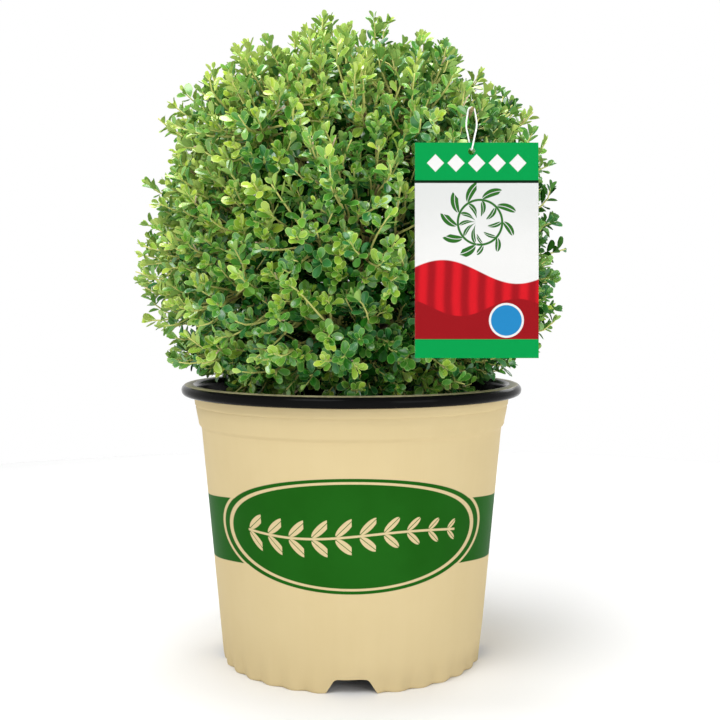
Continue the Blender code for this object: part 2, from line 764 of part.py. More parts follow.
class Mass:
    """The foliage in one space, grown by a seeded rule from the tip of its bough."""

    def __init__(self, index):
        self.name, self.seed, self.bough_tip, self.heading = masses[index]
        self.planes = cell_planes(index)
        self.tips = tips_of[index]
        self.twigs = []  # path and radii of each twig
        self.leaves = []  # frame and size of each leaf
        self.starts = []  # places along the stem where a twig may leave
        self.centre = middle_of(self.planes)
        self.core, self.core_tree = core_mesh("foliage_" + self.name, self.centre, self.planes)

    def grow(self):
        self.grow_stem()
        if self.name == "upper_1":
            self.grow_hook()
        end = self.twigs[0][0][-1]
        for tip in sorted(self.tips, key=lambda p: (p - end).length):
            self.grow_twig(tip)
        for number, (path, radii) in enumerate(self.twigs):
            self.grow_leaves(number, path)

    def add_twig(self, path, radii):
        self.twigs.append((path, radii))
        if len(self.twigs) == 1:
            for a, b in zip(path, path[1:]):
                self.starts += [(a.lerp(b, t),) for t in (0.2, 0.5, 0.8)]

    def grow_stem(self):
        """The stem goes on from the bough's tip, through the core, towards the outline."""
        start = self.bough_tip + self.heading * GAP
        outward = (self.centre - Vector((0, 0, CROWN_Z - 0.02))).normalized()
        if self.name == "top":
            outward = Vector((0, 0, 1))
        end = self.centre.lerp(crown_point(outward), 0.40)
        reach = (self.centre - start).length * 0.35
        before = self.centre - outward * reach
        second = start + self.heading * END
        path = [start] + bezier(second, start + self.heading * reach, before, self.centre, 4) + [end]
        self.add_twig(path, [BOUGH_TIP_R + (STEM_TIP_R - BOUGH_TIP_R) * k / 5 for k in range(6)])
        self.starts = [s for s in self.starts if (s[0] - start).length > 0.008]

    def grow_hook(self):
        """The stout twig that carries the tag's loop."""
        tip = hook_axis + tag_n * HOOK_PAST
        before = hook_axis - tag_n * 0.018
        start = min(self.starts, key=lambda s: (s[0] - before).length)[0]
        path = bezier(start, start.lerp(before, 0.5), before - tag_n * 0.012, before, 3)
        self.add_twig(path + [hook_axis, tip], [TWIG_R] * 3 + [HOOK_R, HOOK_R])

    def grow_twig(self, tip):
        """A twig that leaves the stem inside the core and ends a leaf short of its tip."""
        goal = tip - (tip - self.centre).normalized() * LEAF_L * LEAF_REACH
        axis = self.twigs[0][0][-1]
        for _ in range(12):
            # a shoot near the side of its space draws in, to leave room for its leaves
            if inside(goal, self.planes, SIDE_ROOM):
                break
            goal = goal.lerp(axis, 0.07)
        start = min(self.starts, key=lambda s: (s[0] - self.centre).length + 0.3 * (s[0] - goal).length)
        path, radii = [start[0], goal], [TWIG_R, TWIG_TIP_R]
        good = all(
            inside(p, self.planes, 0.0020) and clear_of_pot(p, 0.001) and clear_of_tag(p, 0.001)
            for p in path
        )
        good = good and path_clear(path, radii, limb_tests)
        if good and path_clear(path, radii, loop_tests):
            self.add_twig(path, radii)

    def grow_leaves(self, number, path):
        """One leaf at the tip of a twig, and an opposite pair behind it, turned by a right angle."""
        axis = (path[-1] - path[-2]).normalized()
        if path[-1] == hook_axis + tag_n * HOOK_PAST:
            return
        aside = axis.orthogonal().normalized()
        spin = rng.uniform(0, math.tau)
        others = [twig_samples(p, TWIG_R) for k, (p, r) in enumerate(self.twigs) if k != number]
        tests = np.vstack([limb_tests, loop_tests] + others)
        for k, back, sides in ((0, TIP_LEAF_BACK, (1,)), (1, PAIR_BACK, (1, -1))):
            root = path[-1] - axis * back
            for side in sides:
                for attempt in range(LEAF_TRIES):
                    size = rng.uniform(0.92, 1.10) * (1.0 - 0.018 * attempt)
                    angle = spin + math.pi / 2 * k + rng.uniform(-0.11, 0.11) * attempt
                    sideways = Quaternion(axis, angle) @ aside * side
                    spread = math.radians(LEAF_SPREAD_DEG + rng.uniform(-3, 3) * (2 + attempt))
                    if k == 0:
                        spread = TIP_SPREAD + rng.uniform(-0.05, 0.05) * attempt
                    along = axis * math.cos(spread) + sideways * math.sin(spread)
                    across = axis.cross(sideways)
                    if along.cross(across).dot(axis) < 0:
                        across = -across
                    frame = leaf_frame(root - along * LEAF_SUNK, along, across, size)
                    if self.leaf_fits(frame, size, tests):
                        self.leaves.append((frame, size))
                        break

    def leaf_fits(self, frame, size, tests):
        """True if a leaf keeps to the mass's space, and off limbs, twigs, core and other leaves."""
        points = [frame @ corner for corner in leaf_samples]
        for point, corner in zip(points, leaf_samples):
            if not inside(point, self.planes) or not clear_of_pot(point) or not clear_of_tag(point):
                return False
            if outline_share(point) > FURTHEST:
                return False
            if corner.x > ROOT_ZONE and sunk(self.core_tree, point, 0.0008):
                return False
        if not leaf_clear(frame, size, tests):
            return False
        free = np.array([p for p, corner in zip(points, leaf_samples) if corner.x > ROOT_ZONE])
        for other, other_size in self.leaves:
            if (other.translation - frame.translation).length > 2.2 * LEAF_L:
                continue
            turn = np.array(other.to_3x3().normalized())
            local = (free - np.array(other.translation)) @ turn
            x = (local[:, 0] - other_size * LEAF_L * 0.5) / (other_size * LEAF_L * 0.52)
            y = local[:, 1] / (other_size * LEAF_W * 0.52)
            if ((x * x + y * y < 1.0) & (np.abs(local[:, 2]) < LEAF_BETWEEN)).any():
                return False
        return True

    def join(self):
        """Joins core, stem, twigs and leaves into one closed body."""
        parts = bpy.data.collections.new("parts_" + self.name)
        bpy.context.scene.collection.children.link(parts)
        for path, radii in self.twigs:
            add_object("twig", limb_mesh("twig", path, radii, 3), None, parts)
        for frame, size in self.leaves:
            leaf = bpy.data.objects.new("leaf", leaf_data)
            leaf.matrix_world = frame
            parts.objects.link(leaf)
        body = add_object(self.core.name, self.core, LEAF)
        for solver in ("EXACT", "MANIFOLD"):
            union = body.modifiers.new("join", "BOOLEAN")
            union.operation = "UNION"
            union.operand_type = "COLLECTION"
            union.collection = parts
            union.solver = solver
            bpy.context.view_layer.update()
            graph = bpy.context.evaluated_depsgraph_get()
            joined = bpy.data.meshes.new_from_object(body.evaluated_get(graph))
            body.modifiers.clear()
            closed, bodies = keep_one_body(joined)
            if closed:
                break
        body.data = joined
        joined.name = body.name
        joined.materials.clear()
        joined.materials.append(LEAF)
        for ob in list(parts.objects):
            data = ob.data
            bpy.data.objects.remove(ob)
            if data.users == 0 and data != leaf_data:
                bpy.data.meshes.remove(data)
        bpy.data.collections.remove(parts)
        print(
            f"{body.name}: {len(self.tips)} tips, {len(self.twigs)} twigs, {len(self.leaves)} leaves,"
            f" {len(joined.polygons)} triangles, {solver}, closed {closed}, {bodies} bodies"
        )


def signed_volume(faces):
    total = 0.0
    for face in faces:
        first = face.verts[0].co
        for a, b in zip(face.verts[1:], face.verts[2:]):
            total += first.dot(a.co.cross(b.co)) / 6.0
    return total


def keep_one_body(mesh):
    """Fills sealed hollows and drops loose scraps: only the largest closed body stays."""
    bm = bmesh.new()
    bm.from_mesh(mesh)
    bmesh.ops.triangulate(bm, faces=bm.faces)
    left = set(bm.faces)
    bodies = []
    while left:
        body, todo = set(), [left.pop()]
        while todo:
            face = todo.pop()
            body.add(face)
            for edge in face.edges:
                for near in edge.link_faces:
                    if near in left:
                        left.discard(near)
                        todo.append(near)
        bodies.append(body)
    bodies.sort(key=signed_volume, reverse=True)
    for body in bodies[1:]:
        bmesh.ops.delete(bm, geom=list(body), context="FACES")
    loose = [v for v in bm.verts if not v.link_faces]
    bmesh.ops.delete(bm, geom=loose, context="VERTS")
    closed = all(len(edge.link_faces) == 2 for edge in bm.edges)
    bm.to_mesh(mesh)
    bm.free()
    return closed, len(bodies)


leaf_total = 0
for i in range(len(masses)):
    mass = Mass(i)
    mass.grow()
    mass.join()
    leaf_total += len(mass.leaves)
bpy.data.meshes.remove(leaf_data)
bpy.context.view_layer.update()
print("leaves in all:", leaf_total)
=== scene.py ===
# %% [markdown]
# # A potted boxwood shrub
# A small evergreen bush stands in a round nursery pot. The bush is a short woody trunk that forks
# into boughs, and each bough carries one mass of twigs and small leaves. The pot is a thin plastic
# shell with a black lining, and a printed card hangs on a loop in front of the leaves.
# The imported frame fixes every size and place. This lesson gives each piece its fine shape and finish.

# %% Load the frame
import math
from contextlib import contextmanager

import bpy
import numpy as np
from mathutils import Matrix, Vector


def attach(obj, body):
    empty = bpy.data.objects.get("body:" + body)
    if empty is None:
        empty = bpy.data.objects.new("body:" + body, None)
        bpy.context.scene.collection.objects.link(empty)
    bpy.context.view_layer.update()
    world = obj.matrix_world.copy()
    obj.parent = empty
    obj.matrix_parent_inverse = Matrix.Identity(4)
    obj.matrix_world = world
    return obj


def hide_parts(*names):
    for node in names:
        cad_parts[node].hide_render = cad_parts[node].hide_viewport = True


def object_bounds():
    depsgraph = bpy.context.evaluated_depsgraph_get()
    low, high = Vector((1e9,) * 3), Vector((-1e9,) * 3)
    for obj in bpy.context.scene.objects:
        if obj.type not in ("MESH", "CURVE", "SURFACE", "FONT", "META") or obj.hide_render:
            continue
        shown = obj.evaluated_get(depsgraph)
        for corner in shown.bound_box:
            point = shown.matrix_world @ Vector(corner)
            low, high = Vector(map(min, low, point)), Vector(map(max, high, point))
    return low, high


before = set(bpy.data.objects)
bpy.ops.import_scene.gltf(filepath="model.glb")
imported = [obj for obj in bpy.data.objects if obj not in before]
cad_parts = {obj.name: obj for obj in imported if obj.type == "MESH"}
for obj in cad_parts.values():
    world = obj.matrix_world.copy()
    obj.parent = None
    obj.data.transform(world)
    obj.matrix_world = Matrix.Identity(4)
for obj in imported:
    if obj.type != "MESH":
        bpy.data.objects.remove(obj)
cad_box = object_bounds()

for corner in cad_box:
    print("corner of the packed model:", [round(c, 4) for c in corner])

# %% [markdown]
# ## Small helpers
# An operator acts on everything that is selected, so each step starts by selecting one object alone.
# A finished piece keeps its place in its mesh, its object sits at the origin, and it is told which
# solid it stands for and which material slot it takes.

# %% Selecting and finishing
scene = bpy.context.scene
MERGE = 0.000002  # points closer than this are one


def only(*obs):
    """Deselects everything, then selects these objects and makes the first one active."""
    bpy.ops.object.select_all(action="DESELECT")
    for ob in obs:
        ob.select_set(True)
    bpy.context.view_layer.objects.active = obs[0]


def apply_place(ob):
    only(ob)
    bpy.ops.object.transform_apply(location=True, rotation=True, scale=True)


def apply_modifiers(ob):
    only(ob)
    for modifier in list(ob.modifiers):
        bpy.ops.object.modifier_apply(modifier=modifier.name)


def cut_out(ob, knife):
    """Takes the knife's shape out of a piece, and the knife out of the scene."""
    cut = ob.modifiers.new("openings", "BOOLEAN")
    cut.operation, cut.object, cut.solver = "DIFFERENCE", knife, "EXACT"
    apply_modifiers(ob)
    bpy.data.objects.remove(knife)


@contextmanager
def editing(ob, kind=None, wanted=None):
    """Edits a mesh with all of it selected, or with only the edges or faces that pass a test."""
    only(ob)
    bpy.ops.object.mode_set(mode="EDIT")
    if kind:
        bpy.ops.mesh.select_mode(type=kind)
    bpy.ops.mesh.select_all(action="DESELECT" if wanted else "SELECT")
    if wanted:
        bpy.ops.object.mode_set(mode="OBJECT")
        for item in ob.data.edges if kind == "EDGE" else ob.data.polygons:
            item.select = wanted(item)
        bpy.ops.object.mode_set(mode="EDIT")
    yield
    bpy.ops.object.mode_set(mode="OBJECT")


def outward(ob):
    """Turns every face outwards, after doubled points are merged."""
    with editing(ob):
        bpy.ops.mesh.remove_doubles(threshold=MERGE)
        bpy.ops.mesh.normals_make_consistent(inside=False)


def finish_piece(ob, name, nodes, finishes, crease):
    """Names a piece, shades it smooth up to a crease, and ties it to its materials and the frame."""
    only(ob)
    bpy.ops.object.shade_smooth_by_angle(angle=math.radians(crease))
    ob.name = ob.data.name = name
    for finish in finishes:
        ob.data.materials.append(finish.mat)
    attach(ob, "root")
    if nodes:
        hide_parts(*nodes)
    ob.data.calc_loop_triangles()
    print(f"{name}: {len(ob.data.loop_triangles)} triangles")


# %% [markdown]
# ## Shader sums as plain Python
# A node graph is a sum written with wires. The class below wraps one socket, so that `mask * 2` adds
# a Math node, and one method adds any other node. A pattern can then be read like a formula.

# %% The wrapper for sockets


def sign(operation):
    """Lets a sign between two values add one Math node."""
    return lambda flow, other: flow.maths(operation, flow, other)


class Flow:
    """One output socket of a material's node tree, which can be used in sums."""

    def __init__(self, tree, socket=None):
        self.tree, self.socket = tree, socket

    def node(self, kind, settings=None, output=0, **inputs):
        """Adds a node. Its sockets go by name, with underscores for spaces, or by i and a number."""
        made = self.tree.nodes.new("ShaderNode" + kind)
        for key, value in (settings or {}).items():
            setattr(made, key, value)
        for key, value in inputs.items():
            at = int(key[1:]) if key[1:].isdigit() else key.replace("_", " ")
            if isinstance(value, Flow):
                self.tree.links.new(value.socket, made.inputs[at])
            else:
                made.inputs[at].default_value = value
        return Flow(self.tree, made.outputs[output])

    def maths(self, operation, a, b=0.0):
        return self.node("Math", {"operation": operation}, i0=a, i1=b)

    __add__ = __radd__ = sign("ADD")
    __mul__ = __rmul__ = sign("MULTIPLY")
    __sub__, __truediv__ = sign("SUBTRACT"), sign("DIVIDE")

    def __rsub__(self, other):
        return self.maths("SUBTRACT", other, self)

    def size(self):
        return self.maths("ABSOLUTE", self)

    def ramp(self, low, high):
        """0 below low, 1 above high, and smooth between them."""
        smooth_step = {"interpolation_type": "SMOOTHSTEP"}
        return self.node("MapRange", smooth_step, Value=self, From_Min=low, From_Max=high)

    def above(self, edge, soft):
        return self.ramp(edge - soft, edge + soft)

    def below(self, edge, soft):
        return 1.0 - self.above(edge, soft)

    def mix(self, first, second):
        """The first colour where this value is 0, the second where it is 1."""
        first, second = (c if isinstance(c, Flow) else (*c, 1.0) for c in (first, second))
        return self.node("Mix", {"data_type": "RGBA"}, 2, i0=self, i6=first, i7=second)

    def bump(self, metres):
        """A surface raised by this much where the value is 1."""
        return self.node("Bump", Height=self, Distance=metres, Strength=1.0)


def length_of(a, b):
    """The length of a way made of the steps a and b, at right angles."""
    squares = a * a + b * b
    return squares.maths("SQRT", squares)


class Finish:
    """A Principled material with a few shortcuts to its places and patterns."""

    def __init__(self, name, specular, colour=None, rough=0.5):
        self.mat = bpy.data.materials.new(name)
        self.mat.use_nodes = True
        self.sockets = self.mat.node_tree.nodes["Principled BSDF"].inputs
        self.flow = Flow(self.mat.node_tree)
        self.sockets["Specular IOR Level"].default_value = specular
        self.sockets["Roughness"].default_value = rough
        if colour:
            self.mat.diffuse_color = self.sockets["Base Color"].default_value = (*colour, 1.0)

    def paint(self, **patterns):
        """Wires patterns to the sockets of these names, with underscores for spaces."""
        for name, pattern in patterns.items():
            self.flow.tree.links.new(pattern.socket, self.sockets[name.replace("_", " ")])

    def place(self):
        """Where a point lies on its piece, as one vector in metres."""
        return self.flow.node("TexCoord", output=3)

    def xyz(self):
        """The same place as three values."""
        vector = self.place()
        return [vector.node("SeparateXYZ", output=k, Vector=vector) for k in range(3)]

    def noise(self, scale, detail=3.0, roughness=0.55, upright=None):
        """A fractal pattern. Upright below 1 draws it out along z."""
        at = self.place()
        if upright:
            at = at.node("VectorMath", {"operation": "MULTIPLY"}, i0=at, i1=(1.0, 1.0, upright))
        return at.node("TexNoise", Vector=at, Scale=scale, Detail=detail, Roughness=roughness)


def mottled(name, specular, noises, edges, colours, rough, swing, metres=0.0, relief_of_all=False):
    """A finish that mixes two colours by noises: rows of share, scale, detail and roughness."""
    finish = Finish(name, specular)
    grains = [finish.noise(*settings) for _, *settings in noises]
    pattern = sum(grain * row[0] for grain, row in zip(grains, noises))
    finish.paint(Base_Color=pattern.ramp(*edges).mix(*colours), Roughness=rough + grains[0] * swing)
    if metres:
        finish.paint(Normal=(pattern if relief_of_all else grains[0]).bump(metres))
    return finish


# %% [markdown]
# ## Camera, floor and light
# The camera stands 0.8 m in front of the pot, a little above its rim, and looks slightly down, as one
# looks at a plant on a bench. Broad soft lights and a pale floor keep the shadows gentle: one large
# light above and to the left shapes the crown, and weaker ones open the shadows.

# %% Camera
CAMERA_AWAY, CAMERA_UP = 0.8, 0.2554
CAMERA_DOWN_DEG, CAMERA_YAW_DEG = 3.22, 0.43
LENS_MM, FILM_MM = 56.2, 36.0

bpy.ops.object.camera_add(
    location=(0.0, -CAMERA_AWAY, CAMERA_UP),
    rotation=(math.radians(90.0 - CAMERA_DOWN_DEG), 0.0, -math.radians(CAMERA_YAW_DEG)),
)
camera = bpy.context.object
camera.data.lens, camera.data.sensor_width, camera.data.clip_start = LENS_MM, FILM_MM, 0.01
scene.camera = camera
scene.view_settings.view_transform = "Standard"
print("camera at", [round(c, 4) for c in camera.location])

# %% Floor and surroundings
# painted light and shade: the floor is painted darker round the pot and paler far off, where it fades
# into the white room
FLOOR_R, NEAR_R, FAR_R = 1.06, 0.22, 0.9  # the floor, and where its shade starts and ends to fade
FLOOR_NEAR, FLOOR_FAR = (0.88,) * 3, (0.96,) * 3
bpy.ops.mesh.primitive_circle_add(vertices=128, radius=FLOOR_R, fill_type="NGON")
floor = bpy.context.object
floor.name = "floor"
paper = Finish("pale_paper", specular=0.1, rough=0.9)
x, y, _ = paper.xyz()
paper.paint(Base_Color=length_of(x, y).ramp(NEAR_R, FAR_R).mix(FLOOR_NEAR, FLOOR_FAR))
floor.data.materials.append(paper.mat)

# the room is white all round up to a little above the horizon, and dimmer overhead
ROOM_LIGHT, OVERHEAD = (1.0,) * 3, (0.26,) * 3
WHITE_UP_TO, DIM_FROM = 0.28, 0.75  # heights on a unit sphere
world = bpy.data.worlds.new("soft_room")
world.use_nodes = True
scene.world = world
room = Flow(world.node_tree)
height = room.node("SeparateXYZ", output=2, Vector=room.node("TexCoord"))
shade = height.ramp(WHITE_UP_TO, DIM_FROM).mix(ROOM_LIGHT, OVERHEAD)
world.node_tree.links.new(shade.socket, world.node_tree.nodes["Background"].inputs["Color"])

# %% Lights
OBJECT_AT = Vector((0.0, 0.0, 0.24))
LIGHTS = (  # name, place, size, watts
    ("key", (-0.55, -1.0, 1.5), 0.85, 16.3),
    ("fill", (1.2, -1.4, 0.5), 0.9, 9.0),
    ("top", (-0.1, 0.0, 1.5), 0.7, 14.0),
    ("back", (0.8, 1.2, 1.0), 0.8, 6.0),
)
for name, place, size, watts in LIGHTS:
    bpy.ops.object.light_add(type="AREA", location=place)
    lamp = bpy.context.object
    lamp.name = name + "_light"
    lamp.data.size, lamp.data.energy = size, watts
    lamp.rotation_euler = (OBJECT_AT - Vector(place)).to_track_quat("-Z", "Y").to_euler()
print("lights:", len(LIGHTS))

# %% [markdown]
# ## The tan wall of the pot
# A nursery pot is blown or moulded: a thin wall that widens upwards, a shoulder under the rim, a
# foot with shallow flutes, four notches that let water out, and a raised floor with drain holes.
# A circle is extruded from ring to ring, so that every ring has a known radius and height. The
# flutes are then pressed in by a formula, and the notches and holes are cut.

# %% Sizes of the pot
POT_HEIGHT, FOOT_R, RIM_R, WALL = 0.195, 0.0915, 0.12, 0.0018
BODY_TOP, BODY_TOP_R = 0.164, 0.1061
SHOULDER, SHOULDER_R = 0.168, 0.1082
LIP_Z, LIP_R = 0.1882, 0.1119
FLOOR_Z, FLOOR_T, FOOT_LIP = 0.015, 0.002, 0.0036
GROOVE_Z, GROOVE_H, GROOVE_T = 0.1803, 0.0018, 0.0005
FLUTES, FLUTE_DEPTH, FLUTE_H = 32, 0.0021, 0.023
FLUTE_LIFT, FLUTE_SHARP, FLUTE_FADE = 0.0006, 0.8, 1.3  # the valleys end this far above the floor
NOTCHES, NOTCH_H, NOTCH_R, NOTCH_ROUND = 4, 0.01, FOOT_R - 0.004, 0.0022
NOTCH_BOTTOM_W, NOTCH_TOP_W, NOTCH_IN, NOTCH_BELOW = 0.0361, 0.0215, 0.022, 0.002
DRAINS, DRAIN_D, DRAIN_AT_R = 4, 0.012, 0.058
POT_SIDES = FLUTES * 8
AXIS_R = 0.002  # the small disc that closes a turned piece on its axis
SOFT = 0.0004  # how far small edges are rounded


def wall_r(z):
    """Outer radius of the tan wall at a height."""
    heights = (0.0, BODY_TOP, SHOULDER, LIP_Z)
    return float(np.interp(z, heights, (FOOT_R, BODY_TOP_R, SHOULDER_R, LIP_R)))


def wall_rings(heights, inset=0.0):
    """Rings for a profile, this far inside the wall's outer face."""
    return [(wall_r(z) - inset, z) for z in heights]


def polar(radius, degrees, height=0.0):
    turn = math.radians(degrees)
    return np.array([radius * math.cos(turn), radius * math.sin(turn), height])


# %% A wall from rings


def ring_stack(profile, sides, hoop=False):
    """A circle extruded through each (radius, height), closed by discs or, for a hoop, on itself."""
    radius, height = profile[0]
    bpy.ops.mesh.primitive_circle_add(vertices=sides, radius=radius, location=(0, 0, height))
    ob = bpy.context.object
    apply_place(ob)
    with editing(ob):
        for next_radius, next_height in profile[1:]:
            rise, pivot = (0.0, 0.0, next_height - height), (0.0, 0.0, next_height)
            bpy.ops.mesh.extrude_region_move(TRANSFORM_OT_translate={"value": rise})
            share = next_radius / radius
            if abs(share - 1.0) > 1e-6:
                bpy.ops.transform.resize(value=(share, share, 1.0), center_override=pivot)
            radius, height = next_radius, next_height
        if hoop:
            bpy.ops.mesh.select_mode(type="EDGE")
            bpy.ops.mesh.select_non_manifold(extend=False)
            bpy.ops.mesh.bridge_edge_loops()
        else:
            bpy.ops.mesh.select_all(action="SELECT")
            bpy.ops.mesh.fill_holes(sides=0)
    outward(ob)
    return ob


inside_r = wall_r(FLOOR_Z) - WALL  # the wall's inner face at the raised floor
under_z = FLOOR_Z - FLOOR_T
pot_profile = [
    # under the floor, and down to the foot's rounded lip
    (AXIS_R, under_z), (inside_r - 0.0042, under_z), (inside_r - 0.003, under_z - 0.001),
    (FOOT_R - FOOT_LIP, SOFT), (FOOT_R - FOOT_LIP + SOFT, 0.0), (FOOT_R - SOFT, 0.0),
    # up the fluted foot and the body
    *wall_rings((0.0006, 0.002, 0.005, 0.009, 0.013, 0.017, 0.02, FLUTE_H)),
    *wall_rings((0.03, 0.05, 0.075, 0.1, 0.125, 0.15, 0.1615)),
    # the rounded shoulder
    (BODY_TOP_R + 0.0001, 0.1642), (BODY_TOP_R + 0.0005, 0.1652), (SHOULDER_R - 0.0006, 0.1662),
    (SHOULDER_R - 0.0001, 0.1672), (SHOULDER_R + 0.0001, 0.169),
    # the collar, with a groove round it, up to the lip
    *wall_rings((0.174, GROOVE_Z - GROOVE_H)),
    (wall_r(GROOVE_Z) - GROOVE_T, GROOVE_Z - GROOVE_H / 4),
    (wall_r(GROOVE_Z) + GROOVE_T / 2, GROOVE_Z + GROOVE_H / 4),
    *wall_rings((GROOVE_Z + GROOVE_H,)),
    (LIP_R - 0.0003, LIP_Z - 0.0008), (LIP_R - 0.0009, LIP_Z), (LIP_R - WALL, LIP_Z - SOFT),
    # down the inside and over the floor
    *wall_rings((SHOULDER, BODY_TOP, 0.1, 0.04, FLOOR_Z + 0.001), WALL),
    (inside_r - 0.001, FLOOR_Z), (AXIS_R, FLOOR_Z),
]
pot_wall = ring_stack(pot_profile, POT_SIDES)
print("rings round the wall:", len(pot_profile))

# %% Flutes round the foot
for vertex in pot_wall.data.vertices:
    x, y, z = vertex.co
    radius = math.hypot(x, y)
    if z < FLUTE_H and radius > wall_r(z) - 0.0006:  # the outer face only
        lobe = abs(math.cos(FLUTES / 2 * math.atan2(y, x) + math.pi / 4))
        valley = (1.0 - lobe) ** FLUTE_SHARP * (1.0 - z / FLUTE_H) ** FLUTE_FADE
        share = (radius - FLUTE_DEPTH * valley) / radius
        vertex.co = (x * share, y * share, z + FLUTE_LIFT * valley * (z < 0.001))
print("flutes:", FLUTES)

# %% Notches and drain holes


def along_top(edge):
    """True for the long upper edges of a notch's knife."""
    a, b = (knife.data.vertices[v].co for v in edge.vertices)
    return a.z > 0 and b.z > 0 and abs(a.x - b.x) > NOTCH_IN / 2


knives = []
for k in range(NOTCHES):
    turn = 360.0 * k / NOTCHES - 90.0
    bpy.ops.mesh.primitive_cube_add(size=1.0)
    knife = bpy.context.object
    for vertex in knife.data.vertices:
        x, y, z = vertex.co
        width, height = (NOTCH_TOP_W, NOTCH_H) if z > 0 else (NOTCH_BOTTOM_W, -NOTCH_BELOW)
        vertex.co = (x * NOTCH_IN, y * width, height)
    with editing(knife, "EDGE", along_top):
        bpy.ops.mesh.bevel(offset=NOTCH_ROUND, segments=5)
    knife.rotation_euler.z = math.radians(turn)
    knife.location = polar(NOTCH_R, turn)
    knives.append(knife)
for k in range(DRAINS):
    at = tuple(polar(DRAIN_AT_R, 360.0 * k / DRAINS - 45.0, FLOOR_Z))
    bpy.ops.mesh.primitive_cylinder_add(vertices=32, radius=DRAIN_D / 2, depth=0.01, location=at)
    knives.append(bpy.context.object)
only(*knives)
bpy.ops.object.join()
knife = bpy.context.object
apply_place(knife)
cut_out(pot_wall, knife)

# %% [markdown]
# ## Printed plastic
# The wall is one tan plastic with a printed band: a green belt round the body and a wide oval in
# front with a thin tan line inside its edge. In the oval runs a plain sprig of paired leaves. The
# print follows the curved wall, so the pattern is worked out from the angle round the axis and the
# height. One leaf shape, repeated along the sprig and mirrored across it, draws the whole sprig.

# %% Sizes and colours of the print
TAN, TAN_SHADE, TAN_DUSTY = (0.59, 0.479, 0.27), (0.564, 0.452, 0.248), (0.42, 0.33, 0.19)
PRINT_GREEN, PRINT_DEEP = (0.011, 0.097, 0.007), (0.009, 0.083, 0.005)
INNER_BLACK, TAN_LAYER = (0.012, 0.012, 0.012), 0.0011  # the wall's inner layer, and its outer one
BAND_LOW, BAND_HIGH, BAND_RISE = 0.0752, 0.1185, 0.0062  # the band rises a little towards the front
OVAL_Z, OVAL_HALF_W, OVAL_HALF_H = 0.1045, 0.0994, 0.0375
PRINT_R = 0.101  # the wall's radius at the middle of the oval
LINE_FROM, LINE_TO = 0.902, 0.944  # the tan line, as shares of the oval
OUTLINE_FROM, OUTLINE_TO = 1.003, 1.034  # and the one round the oval
OVAL_EDGE, INK_EDGE = 0.005, 0.00025  # how soft a print's edge is, as a share and in metres
SPRIG_HALF, SPRIG_STEP, SPRIG_BEND, SPRIG_THIN = 0.0733, 0.0155, 0.0022, 0.55
SPRIG_LEAF_L, SPRIG_LEAF_W, SPRIG_TILT = 0.017, 0.0062, math.radians(42.0)
SPRIG_STEM, SPRIG_VEIN, VEIN_EDGE = 0.00075, 0.00022, 0.00015
LEAF_FROM, LEAF_MIDDLE, LEAF_EDGE = 0.28, 1.12, (0.93, 0.05)  # as shares of a step and of a leaf


def sprig(flow, along, up):
    """A stem with pairs of leaves that get shorter towards its tip."""
    up = up - flow.maths("SINE", along * (math.pi / SPRIG_HALF)) * SPRIG_BEND
    taper = 1.0 - (along * SPRIG_THIN / SPRIG_HALF + 0.15).ramp(0.0, 1.0) * SPRIG_THIN
    cell = flow.maths("FLOORED_MODULO", along, SPRIG_STEP) - SPRIG_STEP * LEAF_FROM
    side = up.size()
    reach = cell * math.cos(SPRIG_TILT) + side * math.sin(SPRIG_TILT)
    across = side * math.cos(SPRIG_TILT) - cell * math.sin(SPRIG_TILT)
    half_l, half_w = taper * (SPRIG_LEAF_L / 2), taper * (SPRIG_LEAF_W / 2)
    leaf = length_of((reach - half_l * LEAF_MIDDLE) / half_l, across / half_w).below(*LEAF_EDGE)
    vein = across.size().below(SPRIG_VEIN, VEIN_EDGE)
    stem = side.below(SPRIG_STEM, INK_EDGE)
    return flow.maths("MAXIMUM", leaf * (1.0 - vein), stem) * along.size().below(SPRIG_HALF, 0.0006)


# %% The tan plastic
plastic = Finish("tan_plastic", specular=0.02)
flow = plastic.flow
x, y, z = plastic.xyz()
azimuth = flow.maths("ARCTAN2", x, y * -1.0)
along = azimuth * PRINT_R
oval = length_of(along / OVAL_HALF_W, (z - OVAL_Z) / OVAL_HALF_H)
in_oval = oval.below(1.0, 0.006)
keyline = oval.above(LINE_FROM, OVAL_EDGE) * oval.below(LINE_TO, OVAL_EDGE)
outline = oval.above(OUTLINE_FROM, OVAL_EDGE) * oval.below(OUTLINE_TO, 0.006)
level = z - flow.maths("COSINE", azimuth).ramp(0.1, 0.9) * BAND_RISE
band = level.above(BAND_LOW, INK_EDGE) * level.below(BAND_HIGH, INK_EDGE)
bare = flow.maths("MAXIMUM", keyline, sprig(flow, along, z - OVAL_Z))
ink = flow.maths("MAXIMUM", band, in_oval) * (1.0 - bare * in_oval) * (1.0 - outline)
cloud, speck = plastic.noise(16.0), plastic.noise(900.0, 2.0)
streak = plastic.noise(150.0, upright=0.06)
tan = (cloud * 0.75 + streak * 0.25).ramp(0.25, 0.78).mix(TAN_SHADE, TAN)
low = z.below(0.012, 0.01) * cloud.ramp(0.45, 0.65)  # a little dust near the ground
tan = (low * 0.35).mix(tan, TAN_DUSTY)
green = cloud.ramp(0.35, 0.65).mix(PRINT_DEEP, PRINT_GREEN)
outer = FOOT_R - FLUTE_DEPTH + z * ((BODY_TOP_R - FOOT_R) / BODY_TOP)
inner_layer = (length_of(x, y) - outer).below(-TAN_LAYER, 0.0001)
plastic.paint(
    Base_Color=inner_layer.mix(ink.mix(tan, green), INNER_BLACK),
    Roughness=0.46 + speck * 0.12 - ink * 0.08 + low * 0.15,
    Normal=(speck * 0.35 + streak * 0.65).bump(0.0001),
)
finish_piece(pot_wall, "pot_wall", ["pot_shell"], [plastic], crease=38)
